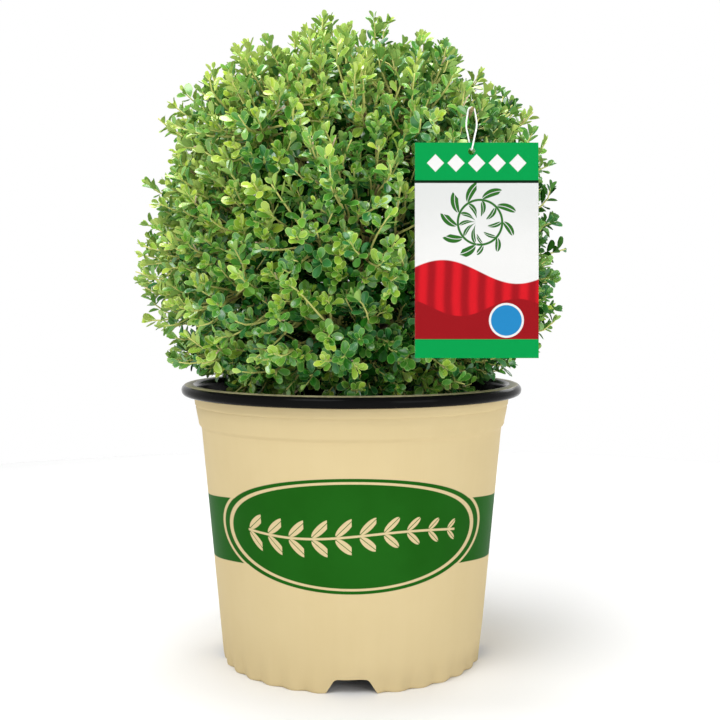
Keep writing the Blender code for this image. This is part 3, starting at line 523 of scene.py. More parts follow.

# %% [markdown]
# ## The black lining and its rolled rim
# Inside the tan wall is a second, black layer, which rolls out over the lip as a fat glossy bead
# and curls under itself outside the wall. It is a closed turned ring: up the inner side, round the
# bead, back under it and down against the wall. Along its crest a tan strip is painted, partly as
# rubbed wear that bares the tan outer layer and partly as a painted highlight.

# %% The rim
LINING, LINING_BOTTOM, LINING_FLARE = 0.0015, 0.15, 1.6
SKIRT_BOTTOM, CEILING, CREST_H = 0.1868, 0.1885, 0.0045
CLEAR = 0.0003  # neighbouring pieces keep this far apart
RIM_SIDES, ROLL_STEPS, ROLL_FLAT, ROLL_SQUARE = 192, 14, 0.04, 0.85
SKIRT = (  # the skirt's rounded edge: how far inside the rim, and height
    (0.0002, 0.1893), (0.0006, 0.1884), (0.0013, 0.1876), (0.0023, SKIRT_BOTTOM + 0.0003),
    (0.0034, SKIRT_BOTTOM), (0.0048, SKIRT_BOTTOM + 0.0001), (0.0062, SKIRT_BOTTOM + 0.0006),
)


def lining_r(z):
    """Inner radius of the black lining at a height."""
    bottom = wall_r(LINING_BOTTOM) - WALL - CLEAR - LINING_FLARE * LINING
    top = LIP_R - WALL - CLEAR - LINING
    return float(np.interp(z, [LINING_BOTTOM, POT_HEIGHT - CREST_H], [bottom, top]))


crest_z = POT_HEIGHT - CREST_H
crest_r = (RIM_R + lining_r(crest_z)) / 2
crest_half = (RIM_R - lining_r(crest_z)) / 2
rim_profile = [(lining_r(z), z) for z in (LINING_BOTTOM, 0.158, 0.166, 0.174, 0.182, 0.187)]
for angle in np.linspace(0.0, math.pi, ROLL_STEPS + 1):
    # a squarer arc than a circle, with a faint flat where the mould parts
    bulge = 1.0 - ROLL_FLAT * math.cos(2 * angle) ** 2
    rise = CREST_H * math.sin(angle) ** ROLL_SQUARE * bulge
    rim_profile.append((crest_r - crest_half * math.cos(angle), crest_z + rise))
rim_profile += [(RIM_R - inset, z) for inset, z in SKIRT]
rim_profile += [(LIP_R + CLEAR + SOFT, CEILING - 0.0005), (LIP_R + CLEAR, CEILING)]
rim_profile += [(LIP_R - WALL - CLEAR, CEILING)]
rim_profile += wall_rings((SHOULDER, BODY_TOP, LINING_BOTTOM), WALL + CLEAR)
rolled_rim = ring_stack(rim_profile, RIM_SIDES, hoop=True)

# %% Black plastic
WEAR_AND_HIGHLIGHT_COLOUR, STRIP_HALF_W, STRIP_OUT = (0.38, 0.34, 0.2), 0.003, 0.0006
BLACK, DUST_AND_REFLECTION = (0.004, 0.004, 0.004), (0.06, 0.05, 0.04)
black = Finish("black_plastic", specular=0.03)
x, y, z = black.xyz()
radius = length_of(x, y)
scuff, broad = black.noise(220.0, 5.0, 0.7), black.noise(30.0)
# a tan strip along the crest: partly rubbed wear, partly a painted highlight
crest = z.above(POT_HEIGHT - 0.001, 0.0003)
crest = crest * (radius - crest_r - STRIP_OUT).size().below(STRIP_HALF_W, 0.0004)
wear_and_highlight = crest * (0.7 + scuff.ramp(0.36, 0.6) * 0.3)
# lighter patches on the lining's inner face: partly dust, partly a painted reflection
dust_and_reflection = radius.below(0.1065, 0.002) * broad.ramp(0.4, 0.7)
black.paint(
    Base_Color=(dust_and_reflection * 0.3).mix(wear_and_highlight.mix(BLACK, WEAR_AND_HIGHLIGHT_COLOUR), DUST_AND_REFLECTION),
    Roughness=0.1 + wear_and_highlight * 0.22 + dust_and_reflection * 0.35 + broad * 0.06, Normal=scuff.bump(0.00008),
)
finish_piece(rolled_rim, "rolled_rim", ["pot_rim"], [black], crease=50)

# %% [markdown]
# ## Potting mix
# The pot is filled with a dark mix of peat and bark. Its top is a shallow, uneven mound, so a fine
# disc is lifted by a fractal noise, and a few hundred small bark chips lie half sunk in it. A chip is
# modelled once, as a rough flat crumb, and copied by arrays with its own turn and size.

# %% The filling
SOIL_TOP, SOIL_RELIEF, SOIL_RINGS = 0.173, 0.0044, 44
soil_r = lining_r(SOIL_TOP)
soil_profile = [(r, SOIL_TOP) for r in np.linspace(AXIS_R, soil_r - 0.0012, SOIL_RINGS)]
soil_profile += [
    (soil_r - CLEAR, SOIL_TOP - 0.001), (lining_r(LINING_BOTTOM) - CLEAR, LINING_BOTTOM),
    *wall_rings((LINING_BOTTOM - 0.001,), WALL + CLEAR), (inside_r - 0.0014, FLOOR_Z + CLEAR),
    (AXIS_R, FLOOR_Z + CLEAR),
]
filling = ring_stack(soil_profile, 128)
top_points = filling.vertex_groups.new(name="top")
top_points.add([v.index for v in filling.data.vertices if v.co.z > SOIL_TOP - 0.0001], 1.0, "REPLACE")


def displace(ob, kind, settings, strength, middle):
    """A modifier that lifts a surface by a noise texture."""
    texture = bpy.data.textures.new("relief", kind)
    for key, value in settings.items():
        setattr(texture, key, value)
    lift = ob.modifiers.new("relief", "DISPLACE")
    lift.texture, lift.texture_coords = texture, "LOCAL"
    lift.strength, lift.mid_level = strength, middle
    return lift


lift = displace(filling, "CLOUDS", {"noise_scale": 0.012, "noise_depth": 5}, SOIL_RELIEF, 0.6)
lift.direction, lift.vertex_group = "Z", "top"
apply_modifiers(filling)

# %% Meshes from arrays
rng = np.random.default_rng(58)


def link(name, data):
    """Puts a mesh or a curve in the scene as an object."""
    ob = bpy.data.objects.new(name, data)
    scene.collection.objects.link(ob)
    return ob


def mesh_object(points, triangles, kinds=None):
    """One object from arrays of corners and triangles, with a material number for each triangle."""
    mesh = bpy.data.meshes.new("mesh")
    mesh.vertices.add(len(points))
    mesh.vertices.foreach_set("co", np.asarray(points, np.float32).ravel())
    mesh.loops.add(triangles.size)
    mesh.loops.foreach_set("vertex_index", triangles.astype(np.int32).ravel())
    mesh.polygons.add(len(triangles))
    mesh.polygons.foreach_set("loop_start", np.arange(0, triangles.size, 3, dtype=np.int32))
    if kinds is not None:
        mesh.polygons.foreach_set("material_index", kinds.astype(np.int32))
    mesh.update(calc_edges=True)
    return link("mesh", mesh)


def taken_out(ob):
    """The corners, triangles and material numbers of a modelled piece, which leaves the scene."""
    ob.data.calc_loop_triangles()
    points = np.array([v.co for v in ob.data.vertices])
    triangles = np.array([t.vertices for t in ob.data.loop_triangles])
    kinds = np.array([t.material_index for t in ob.data.loop_triangles])
    bpy.data.objects.remove(ob)
    return points, triangles, kinds


def repeated(triangles, copies, corners):
    """Triangles of many copies of one shape, for corners that follow each other in one array."""
    return (triangles[None] + np.arange(copies)[:, None, None] * corners).reshape(-1, 3)


def unit(vectors):
    return vectors / np.maximum(np.linalg.norm(vectors, axis=-1, keepdims=True), 1e-12)


def flat_turns(count, tilt):
    """Axes x, y and z of random turns that keep z nearly upright, as an array of (count, 3, 3)."""
    x = unit(rng.normal(size=(count, 3)))
    z = unit(np.cross(x, rng.normal(size=(count, 3))))
    y = np.cross(z, x)
    z = unit(z * tilt + (0, 0, 1))
    x = unit(np.cross(y, z))
    return np.stack([x, np.cross(z, x), z], axis=1)


# %% Bark chips and crumbs
CHIPS, CHIP_L, CHIP_ABOVE, CHIP_TILT = 520, (0.0022, 0.0075), 0.0006, 0.35
CHIP_W, CHIP_T, CHIP_ROUGH = (0.4, 0.8), (0.2, 0.4), 0.25  # as shares of its length
RIM_FREE = 0.006  # no chip lies closer to the lining
bpy.ops.mesh.primitive_ico_sphere_add(subdivisions=1, radius=0.5)
chip_points, chip_triangles, _ = taken_out(bpy.context.object)
long = rng.uniform(*CHIP_L, CHIPS)
shape = np.stack([long, long * rng.uniform(*CHIP_W, CHIPS), long * rng.uniform(*CHIP_T, CHIPS)], 1)
rough = 1.0 + rng.uniform(-CHIP_ROUGH, CHIP_ROUGH, (CHIPS, len(chip_points), 1))
turns = flat_turns(CHIPS, CHIP_TILT)
reach = (soil_r - RIM_FREE) * np.sqrt(rng.uniform(0.02, 1.0, CHIPS))
angle = rng.uniform(0, math.tau, CHIPS)
height = np.full(CHIPS, SOIL_TOP + CHIP_ABOVE)
at = np.stack([reach * np.cos(angle), reach * np.sin(angle), height], 1)
points = at[:, None] + np.einsum("npk,nkj->npj", chip_points * shape[:, None] * rough, turns)
chips = mesh_object(points.reshape(-1, 3), repeated(chip_triangles, CHIPS, len(chip_points)))

# %% Soil and chip finishes
soil = mottled(
    "potting_mix", 0.3, ((0.6, 900.0, 6.0, 0.7), (0.4, 140.0, 4.0)), (0.38, 0.66),
    ((0.01, 0.007, 0.005), (0.075, 0.05, 0.032)), rough=0.75, swing=0.2, metres=0.0007,
    relief_of_all=True,
)
finish_piece(filling, "potting_mix", ["soil"], [soil], crease=60)
chip_bark = mottled(
    "bark_chips", 0.3, ((0.5, 420.0, 5.0, 0.65), (0.5, 70.0, 1.0)), (0.36, 0.66),
    ((0.028, 0.015, 0.009), (0.17, 0.1, 0.058)), rough=0.65, swing=0.25, metres=0.0003,
)
finish_piece(chips, "bark_chips", [], [chip_bark], crease=35)

# %% [markdown]
# ## Trunk and boughs
# Under the leaves the bush is a short trunk with a flared foot, and seventeen boughs that leave it at
# four heights and bend up and outwards. Each limb is a curve with a round bevel that tapers. The
# limbs are joined and remeshed into one skin, so that every fork has a soft collar, and the skin gets
# the furrows of the bark from a displacement.

# %% Sizes of the limbs and the crown
TRUNK_TOP, TRUNK_FOOT = 0.262, SOIL_TOP + CLEAR
TRUNK_STATIONS = (  # height above the soil, radius
    (0.0, 0.0125), (0.003, 0.0105), (0.009, 0.0085), (0.025, 0.007),
    (0.05, 0.0056), (0.073, 0.0048), (0.0887, 0.0042),
)
TRUNK_LEAN, TRUNK_UPRIGHT, TRUNK_STEPS = (0.0035, 0.002), 0.003, 30
LEAN_POWER = 1.5  # trunk and crown lean more the higher they are
BOUGH_R, BOUGH_TIP_R, BOUGH_STEPS = 0.0025, 0.0018, 12
BOUGH_BEND, TOP_BEND, COLLAR = 0.018, (0, 0, 0.03), (1.3, 1.1)
FORK_SHIFTS, FORK_OUT, FORK_THICKER = (-0.004, 0.005), 0.003, 1.25  # every other one forks higher
TOP_SUNK, TOP_THINNER = 0.003, 0.92
RINGS = (  # ring, how many, radius and height of the masses, first azimuth, bough foot and tip
    ("top", 1, 0.0, 0.408, 0.0, None, 0.0, 0.358),
    ("upper", 5, 0.08, 0.373, -59.0, 0.246, 0.04, 0.333),
    ("middle", 6, 0.097, 0.299, -23.0, 0.222, 0.047, 0.268),
    ("lower", 5, 0.088, 0.228, -95.0, 0.199, 0.045, 0.221),
)
CROWN_Z, CROWN_R, CROWN_LEAN = 0.297, 0.144, -0.006
CROWN_UP, CROWN_UP_POWER = 0.151, 2.1
CROWN_DOWN, CROWN_DOWN_POWER = 0.117, 2.8
UP, RIGHT = np.array([0.0, 0.0, 1.0]), np.array([1.0, 0.0, 0.0])
GOLDEN = math.pi * (3 - math.sqrt(5))


def trunk_axis(height):
    way = (height - SOIL_TOP - TRUNK_UPRIGHT) / (TRUNK_TOP - SOIL_TOP - TRUNK_UPRIGHT)
    share = max(0.0, way) ** LEAN_POWER
    return np.array([TRUNK_LEAN[0] * share, TRUNK_LEAN[1] * share, height])


def bezier(p0, p1, p2, p3, count):
    """Points along cubic curves: (..., 3) corners give (..., count, 3) points."""
    t = np.linspace(0.0, 1.0, count)[:, None]
    p0, p1, p2, p3 = (np.asarray(p)[..., None, :] for p in (p0, p1, p2, p3))
    return p0 * (1 - t) ** 3 + p1 * 3 * t * (1 - t) ** 2 + p2 * 3 * t * t * (1 - t) + p3 * t ** 3


# %% The limbs as bevelled curves


def round_curve(kind, thickness, steps):
    """A curve with a round bevel, and its spline."""
    curve = bpy.data.curves.new("curve", "CURVE")
    curve.dimensions, curve.bevel_depth, curve.bevel_resolution = "3D", thickness, steps
    return curve, curve.splines.new(kind)


def as_mesh(curve):
    only(link("curve", curve))
    bpy.ops.object.convert(target="MESH")
    return bpy.context.object


def limb(path, radii, steps):
    """A tapering round limb."""
    curve, spline = round_curve("POLY", 1.0, steps)
    curve.use_fill_caps = True
    spline.points.add(len(path) - 1)
    for point, at, radius in zip(spline.points, path, radii):
        point.co, point.radius = (*at, 1.0), radius
    return as_mesh(curve)


heights = np.linspace(0.0, TRUNK_STATIONS[-1][0], TRUNK_STEPS)
radii = np.interp(heights, *zip(*TRUNK_STATIONS))
limbs = [limb([trunk_axis(TRUNK_FOOT + h) for h in heights], radii, 6)]
masses = []  # name, middle of its space, tip of its bough, direction there
for ring, count, ring_r, ring_z, first, foot_z, tip_r, tip_z in RINGS:
    for i in range(count):
        azimuth = first + 360.0 * i / count
        middle, tip = polar(ring_r, azimuth, ring_z), polar(tip_r, azimuth, tip_z)
        if foot_z is None:
            start, heading = trunk_axis(TRUNK_TOP - TOP_SUNK), UP
            foot_r = TRUNK_STATIONS[-1][1] * TOP_THINNER
            leave, arrive = TOP_BEND, TOP_BEND
        else:
            out, heading, foot_r = polar(1.0, azimuth), unit(middle - tip), BOUGH_R * FORK_THICKER
            start = trunk_axis(foot_z + FORK_SHIFTS[i % 2]) + out * FORK_OUT
            leave, arrive = out * BOUGH_BEND, heading * BOUGH_BEND
        path = bezier(start, start + leave, tip - arrive, tip, BOUGH_STEPS)
        radii = np.linspace(foot_r, BOUGH_TIP_R, BOUGH_STEPS)
        radii[:2] *= COLLAR  # it is thicker where it leaves the trunk
        limbs.append(limb(path, radii, 3))
        masses.append((ring if count == 1 else f"{ring}_{i + 1}", middle, tip, heading))
only(*limbs)
bpy.ops.object.join()
wood = bpy.context.object
print("limbs:", len(limbs))

# %% One skin with bark
SKIN, FURROWS = 0.0007, 0.0006
OLD_BARK = ((0.06, 0.04, 0.026), (0.235, 0.175, 0.11))
YOUNG_BARK = ((0.15, 0.12, 0.04), (0.33, 0.27, 0.11))
LICHEN = (0.3, 0.31, 0.25)
skin = wood.modifiers.new("skin", "REMESH")
skin.mode, skin.voxel_size = "VOXEL", SKIN
soften = wood.modifiers.new("soften", "SMOOTH")
soften.factor, soften.iterations = 0.5, 4
displace(wood, "MUSGRAVE", {"noise_scale": 0.004, "octaves": 5.0}, FURROWS, 0.5)
apply_modifiers(wood)
for vertex in wood.data.vertices:
    # the remesh rounds the flat foot: nothing goes below the soil's surface
    vertex.co.z = max(vertex.co.z, TRUNK_FOOT)

bark = Finish("shrub_bark", specular=0.3)
fissure, lichen = bark.noise(520.0, 5.0, 0.65, upright=0.22), bark.noise(90.0)
young = bark.xyz()[2].ramp(SOIL_TOP + 0.04, TRUNK_TOP + 0.06)
colour = young.mix(fissure.ramp(0.4, 0.62).mix(*OLD_BARK), fissure.ramp(0.38, 0.64).mix(*YOUNG_BARK))
colour = (lichen.ramp(0.56, 0.7) * 0.45).mix(colour, LICHEN)
bark.paint(Base_Color=colour, Roughness=0.7 + fissure * 0.22, Normal=fissure.bump(0.0005))
limb_nodes = ["trunk"] + ["bough_" + name for name, *_ in masses]
finish_piece(wood, "trunk_and_boughs", limb_nodes, [bark], crease=60)

# %% [markdown]
# ## The rule that grows the crown
# The crown's outline is a rounded form, taller above its middle than below. From the tip of each
# bough one stem goes on through its own mass. Twigs leave the stem for points that are spread evenly
# over the outline by the golden angle, and fine shoots leave the twigs in the same way. A shoot bends
# outwards and up to the light. Everything is worked out for all twigs at once, with arrays.

# %% The outline
CROWN_MIDDLE = CROWN_Z * UP
CROWN_HEART = CROWN_MIDDLE - 0.02 * UP  # stems and shoots head away from here
SEEDS = np.array([middle for _, middle, _, _ in masses])


def dome(flat, up):
    """How far out places lie, by their steps from the crown's middle: 1 on the outline."""
    height = np.where(up > 0, CROWN_UP, CROWN_DOWN)
    power = np.where(up > 0, CROWN_UP_POWER, CROWN_DOWN_POWER)
    return ((flat / CROWN_R) ** power + (np.abs(up) / height) ** power) ** (1 / power)


def lean(up):
    """How far the crown leans to the side at a height over its middle."""
    return CROWN_LEAN * np.maximum(0.0, up / CROWN_UP) ** LEAN_POWER


def crown_point(direction):
    """Where unit directions from the crown's middle meet its outline."""
    flat = np.hypot(direction[..., 0], direction[..., 1])
    point = direction / dome(flat, direction[..., 2])[..., None]
    point[..., 0] += lean(point[..., 2])
    point[..., 2] += CROWN_Z
    return point


def outline_share(point):
    """How far out points lie: 1 on the crown's outline."""
    x, y, z = np.moveaxis(point - CROWN_MIDDLE, -1, 0)
    return dome(np.hypot(x - lean(z), y), z)


def spread(count, lowest_deg, turn=0.0):
    """Unit directions spread evenly by the golden angle, from the top down to a lowest angle."""
    k = np.arange(count)
    z = 1.0 - (k + 0.5) / count * (1.0 - math.sin(math.radians(lowest_deg)))
    flat = np.sqrt(1.0 - z * z)
    return np.stack([flat * np.cos(k * GOLDEN + turn), flat * np.sin(k * GOLDEN + turn), z], 1)


def owner(points):
    """The number of the mass whose space holds each point."""
    return np.linalg.norm(points[:, None] - SEEDS[None], axis=2).argmin(axis=1)


# %% Tubes from arrays
ROOT_END, TIP_END = 0.5, 0.7  # how far the closed ends stand out, in radii


def tubes(paths, thick, thin, sides, swell=1.0):
    """Corners and triangles of many tapering tubes with closed ends, for paths of (n, k, 3)."""
    n, k, _ = paths.shape
    radii = np.linspace(thick, thin, k)[None] * (np.ones(n) * swell)[:, None]
    tangent = unit(np.gradient(paths, axis=1))
    chord = paths[:, -1] - paths[:, 0]
    side = unit(np.cross(tangent, np.eye(3)[np.abs(chord).argmin(axis=1)][:, None]))
    other = np.cross(tangent, side)
    angle = np.arange(sides) * math.tau / sides
    ring = side[:, :, None] * np.cos(angle)[:, None] + other[:, :, None] * np.sin(angle)[:, None]
    rings = paths[:, :, None] + ring * radii[:, :, None, None]
    ends = np.stack([paths[:, 0] - tangent[:, 0] * radii[:, :1] * ROOT_END,
                     paths[:, -1] + tangent[:, -1] * radii[:, -1:] * TIP_END], axis=1)
    points = np.concatenate([rings.reshape(n, k * sides, 3), ends], axis=1)
    b = np.arange(sides)
    c = (b + 1) % sides
    low, low_next = (np.arange(k - 1)[:, None] * sides + s for s in (b, c))
    wall = np.stack([low, low_next + sides, low + sides, low, low_next, low_next + sides], -1)
    root = np.stack([np.full(sides, k * sides), c, b], -1)
    tip = np.stack([np.full(sides, k * sides + 1), (k - 1) * sides + b, (k - 1) * sides + c], -1)
    one = np.concatenate([wall.reshape(-1, 3), root, tip])
    return points.reshape(-1, 3), repeated(one, n, points.shape[1])


# %% Stems and twigs of each mass
TWIG_TIPS, TWIG_LOWEST, TWIG_RANGE = 142, -60, (-0.007, 0.004)
LEAF_OFF = 0.024  # twigs end this far inside the outline, and the shoots go on
STEM_STEPS, TWIG_STEPS = 10, 9
SAMPLES, SAMPLED_TO = 60000, 0.8  # points that find the middle of each mass
STEM_SUNK, STEM_OUT, STEM_BEND = 0.001, 0.55, 0.5
FAR_FORK = 0.8  # a fork costs more the further out it is
TWIG_BEND, TWIG_UP, STEM_PULL, LEAVE_SPREAD, ARRIVE_SPREAD = 0.35, 0.25, 0.6, 0.15, 0.12
twig_tips = crown_point(spread(TWIG_TIPS, TWIG_LOWEST))
twig_tips += unit(twig_tips - CROWN_MIDDLE) * rng.uniform(*TWIG_RANGE, (TWIG_TIPS, 1))
tip_owner = owner(twig_tips)
sample = rng.uniform(-1, 1, (SAMPLES, 3)) * (CROWN_R, CROWN_R, CROWN_UP) + CROWN_MIDDLE
sample = sample[outline_share(sample) < SAMPLED_TO]
sample_owner = owner(sample)
stems, twigs, twig_mass = [], [], []
for index, (name, middle, tip, heading) in enumerate(masses):
    centre = sample[sample_owner == index].mean(axis=0)
    outward_way = unit(centre - CROWN_HEART)
    end = centre + (crown_point(outward_way) - centre) * STEM_OUT
    reach = np.linalg.norm(centre - tip) * STEM_BEND
    stem = bezier(tip - heading * STEM_SUNK, tip + heading * reach, centre, end, STEM_STEPS)
    stems.append(stem)
    forks = stem[2:-1]
    for goal_tip in twig_tips[tip_owner == index]:
        goal = goal_tip - unit(goal_tip - centre) * LEAF_OFF
        cost = np.linalg.norm(forks - forks[0], axis=1) * FAR_FORK
        start = forks[(cost + np.linalg.norm(forks - goal, axis=1)).argmin()]
        bend = np.linalg.norm(goal - start) * TWIG_BEND
        leave = unit(end - tip) * STEM_PULL + unit(goal - start) + rng.normal(0, LEAVE_SPREAD, 3)
        arrive = unit(goal - CROWN_MIDDLE) + TWIG_UP * UP + rng.normal(0, ARRIVE_SPREAD, 3)
        bends = start + unit(leave) * bend, goal - unit(arrive) * bend
        twigs.append(bezier(start, *bends, goal, TWIG_STEPS))
        twig_mass.append(index)
stems, twigs, twig_mass = np.array(stems), np.array(twigs), np.array(twig_mass)
print("stems:", len(stems), "twigs:", len(twigs))

# %% The tag's place, which leaves and twigs keep clear of
TAG_W, TAG_H, TAG_T = 0.0725, 0.1265, 0.0006
TAG_AT = np.array([0.0734, -0.1385, 0.2826])
TAG_TILT, TAG_YAW = math.radians(86.5), math.radians(-0.5)
HOLE_D, HOLE_AT = 0.004, (-0.003, TAG_H / 2 - 0.0052)
LOOP_D, LOOP_H, LOOP_HALF_W = 0.001, 0.024, 0.003
HOOK_R, HOOK_PAST = 0.0011, 0.006
BESIDE, BEHIND, LOOP_BESIDE, LOOP_BEHIND = 0.003, 0.0015, 0.007, 0.003
RIM_ABOVE, RIM_FROM, SOIL_ABOVE, FURTHEST = 0.0015, 0.1, 0.003, 1.065
tag_turn = Matrix.Rotation(TAG_YAW, 3, "Z") @ Matrix.Rotation(TAG_TILT, 3, "X")
tag_axes = np.array(tag_turn).T  # its width, its height and its face's direction


def on_tag(u, v, n):
    """A point given across, up and out from the hole's centre."""
    return TAG_AT + np.array([HOLE_AT[0] + u, HOLE_AT[1] + v, n]) @ tag_axes


def in_the_way(points, room=0.0):
    """True for points in the card's space, in front of it, or at its loop."""
    u, v, n = np.moveaxis((points - TAG_AT) @ tag_axes.T, -1, 0)
    card = (np.abs(u) < TAG_W / 2 + BESIDE) & (np.abs(v) < TAG_H / 2 + BESIDE) & (n > -BEHIND - room)
    loop_u, loop_v = np.abs(u - HOLE_AT[0]), np.abs(v - HOLE_AT[1] - LOOP_H / 2)
    loop = (loop_u < LOOP_BESIDE) & (loop_v < LOOP_H / 2 + BESIDE) & (n > -LOOP_BEHIND - room)
    return card | loop


def out_of_bounds(points):
    """True for points in the rim or the soil, or too far outside the crown."""
    height = points[..., 2]
    over_rim = np.hypot(points[..., 0], points[..., 1]) > RIM_FROM
    pot = (height < POT_HEIGHT + RIM_ABOVE) & over_rim
    return pot | (height < SOIL_TOP + SOIL_ABOVE) | (outline_share(points) > FURTHEST)


# %% Where the shoots end
SHOOTS = (  # how many, lowest angle, least and greatest share of the outline, first turn
    (1500, -62, 0.87, 1.035, 0.0), (800, -60, 0.76, 0.87, 1.7), (760, -55, 0.33, 0.74, 3.1),
)
LONG_SHOOTS = (  # azimuth, height above the crown's middle, reach
    (181, -0.012, 0.149), (-2, -0.008, 0.151), (176, 0.153, 0.015), (172, 0.137, 0.074),
    (12, 0.104, 0.118), (190, 0.08, 0.134), (-171, -0.058, 0.142), (-14, -0.05, 0.144),
    (93, 0.01, 0.15), (84, -0.016, 0.151), (103, 0.028, 0.15), (-96, 0.04, 0.146),
)
HOLLOWS = (  # bearing in the front plane in degrees, depth as a share, half width in degrees
    (108, 0.12, 9), (159, 0.095, 7), (50, 0.075, 6), (7, 0.055, 8), (-12, 0.06, 7), (85, 0.07, 5),
    (177, 0.035, 7), (204, 0.08, 5), (26, 0.025, 6), (120, 0.035, 5), (142, 0.02, 5),
    (40, -0.06, 5), (212, -0.07, 5), (-28, -0.04, 6), (166, -0.03, 5),
)
UNEVEN, FLATTER_TOP = 0.032, 0.02  # shares of the outline
TIP_SPREAD, TIP_CROWDING, FLAT_FROM = 0.035, 1.4, 0.45  # the last is a height on a unit sphere


def waves(directions):
    """A slow variation over the crown, about -1 to 1."""
    x, y, z = np.moveaxis(directions, -1, 0)
    first, second = np.sin(5.1 * x + 2.3 * z + 0.7), np.sin(4.3 * y - 3.9 * z + 2.1)
    return (first + second + np.sin(6.7 * z + 3.1 * x - y)) / 3


def hollow(directions):
    """How far the shallow hollows of the clipped outline pull a tip in, and its tufts let it out."""
    bearing = np.degrees(np.arctan2(directions[:, 2], directions[:, 0]))
    pull = np.zeros(len(directions))
    for at, depth, half in HOLLOWS:
        off = (bearing - at + 180) % 360 - 180
        pull += depth * np.exp(-((off / half) ** 2))
    return pull * (1.0 - directions[:, 1] ** 2) ** 2


def shoot_tips(count, lowest_deg, low, high, turn):
    """Tips spread over the crown at shares of its outline between low and high."""
    directions = unit(spread(count, lowest_deg, turn) + rng.normal(0, TIP_SPREAD, (count, 3)))
    share = low + (high - low) * rng.uniform(size=count) ** TIP_CROWDING
    share += UNEVEN * (waves(directions * 1.3) + waves(directions[:, [2, 0, 1]] * 3.7))
    share -= FLATTER_TOP * np.clip(directions[:, 2] / FLAT_FROM - 1.0, 0.0, 1.0)
    share -= hollow(directions)
    return CROWN_MIDDLE + (crown_point(directions) - CROWN_MIDDLE) * share[:, None]


layers = [np.array([polar(reach, azimuth, CROWN_Z + up) for azimuth, up, reach in LONG_SHOOTS])]
layers += [shoot_tips(*row) for row in SHOOTS]
tips = np.concatenate(layers)
layer = np.concatenate([np.full(len(t), k) for k, t in enumerate(layers)])

# %% Fine shoots
SHOOT_POINTS = 6
SHOOT_L = (0.046, 0.036, 0.034, 0.03)  # by layer: the long ones, then from the outside in
SHOOT_L_RANGE, OTHER_MASS = (0.85, 1.15), 1.0  # a fork of another mass seems this much further off
TIP_OUT, TIP_UP, TIP_WAY_SPREAD, LONG_OUT, LONG_UP = 0.8, 0.42, 0.24, 0.9, 0.25
FOOT_OUT, FOOT_SPREAD, FOOT_BEND, TIP_BEND = 0.4, 0.17, 0.35, 0.38
away = unit(tips - CROWN_HEART)
arrive = unit(away * TIP_OUT + TIP_UP * UP + rng.normal(0, TIP_WAY_SPREAD, tips.shape))
arrive[layer == 0] = unit(away[layer == 0] * LONG_OUT + LONG_UP * UP)
length = np.choose(layer, SHOOT_L) * rng.uniform(*SHOOT_L_RANGE, len(tips))
forks = [twigs[:, 2:], stems[:, 3:]]
wood_points = np.concatenate([f.reshape(-1, 3) for f in forks])
wood_mass = np.concatenate([
    np.repeat(mass, f.shape[1]) for mass, f in zip((twig_mass, np.arange(len(stems))), forks)
])
wish = tips - unit(away + arrive) * length[:, None]
gap = np.linalg.norm(wish[:, None] - wood_points[None], axis=2)
gap += OTHER_MASS * (wood_mass[None] != owner(tips)[:, None])
start = wood_points[gap.argmin(axis=1)]
span = np.linalg.norm(tips - start, axis=1, keepdims=True)
leave = unit(unit(tips - start) + away * FOOT_OUT + rng.normal(0, FOOT_SPREAD, tips.shape))
bends = start + leave * span * FOOT_BEND, tips - arrive * span * TIP_BEND
shoots = bezier(start, *bends, tips, SHOOT_POINTS)
clear = ~(in_the_way(shoots).any(axis=1) | out_of_bounds(shoots[:, 2:]).any(axis=1))
# the twig that carries the loop is one more shoot
hook, back = on_tag(0.0, LOOP_H, 0.0), tag_axes[2]
hook_path = bezier(
    hook - back * 0.042 + 0.006 * UP, hook - back * 0.028 - 0.001 * UP, hook - back * 0.01,
    hook + back * HOOK_PAST, SHOOT_POINTS,
)
shoots = np.concatenate([shoots[clear], hook_path[None]])
layer = np.append(layer[clear], 0)
away = np.concatenate([away[clear], unit(hook - CROWN_MIDDLE)[None]])
print("shoots:", len(shoots), "of", len(tips), "longest", round(float(span.max()), 4))

# %% [markdown]
# ## One leaf
# A boxwood leaf is small, oval and widest beyond its middle, with a slight notch at the tip and a
# pale margin. It is modelled once, at its real size: a small grid becomes the blade, its lower end
# is merged into the stalk, the underside is a lower copy that shares the outline, and an inset
# gives the margin. A second leaf without margin serves for the shaded inside.

# %% The leaf's outline
# share of the length, share of the half width
LEAF_ROWS = ((0.0, 0.0), (0.26, 0.58), (0.56, 1.0), (0.85, 0.8), (1.0, 0.32))
SHADED_ROWS = ((0.0, 0.0), (0.38, 0.84), (0.78, 0.92), (1.0, 0.36))
LEAF_L, LEAF_W, LEAF_NOTCH = 0.0086, 0.0051, 0.03
FOLD, THICK, MARGIN_W, MARGIN_SUNK = 0.00065, 0.00036, 0.00029, 0.00006
BLADE, MARGIN, UNDER = 0, 1, 2  # the leaf's material numbers


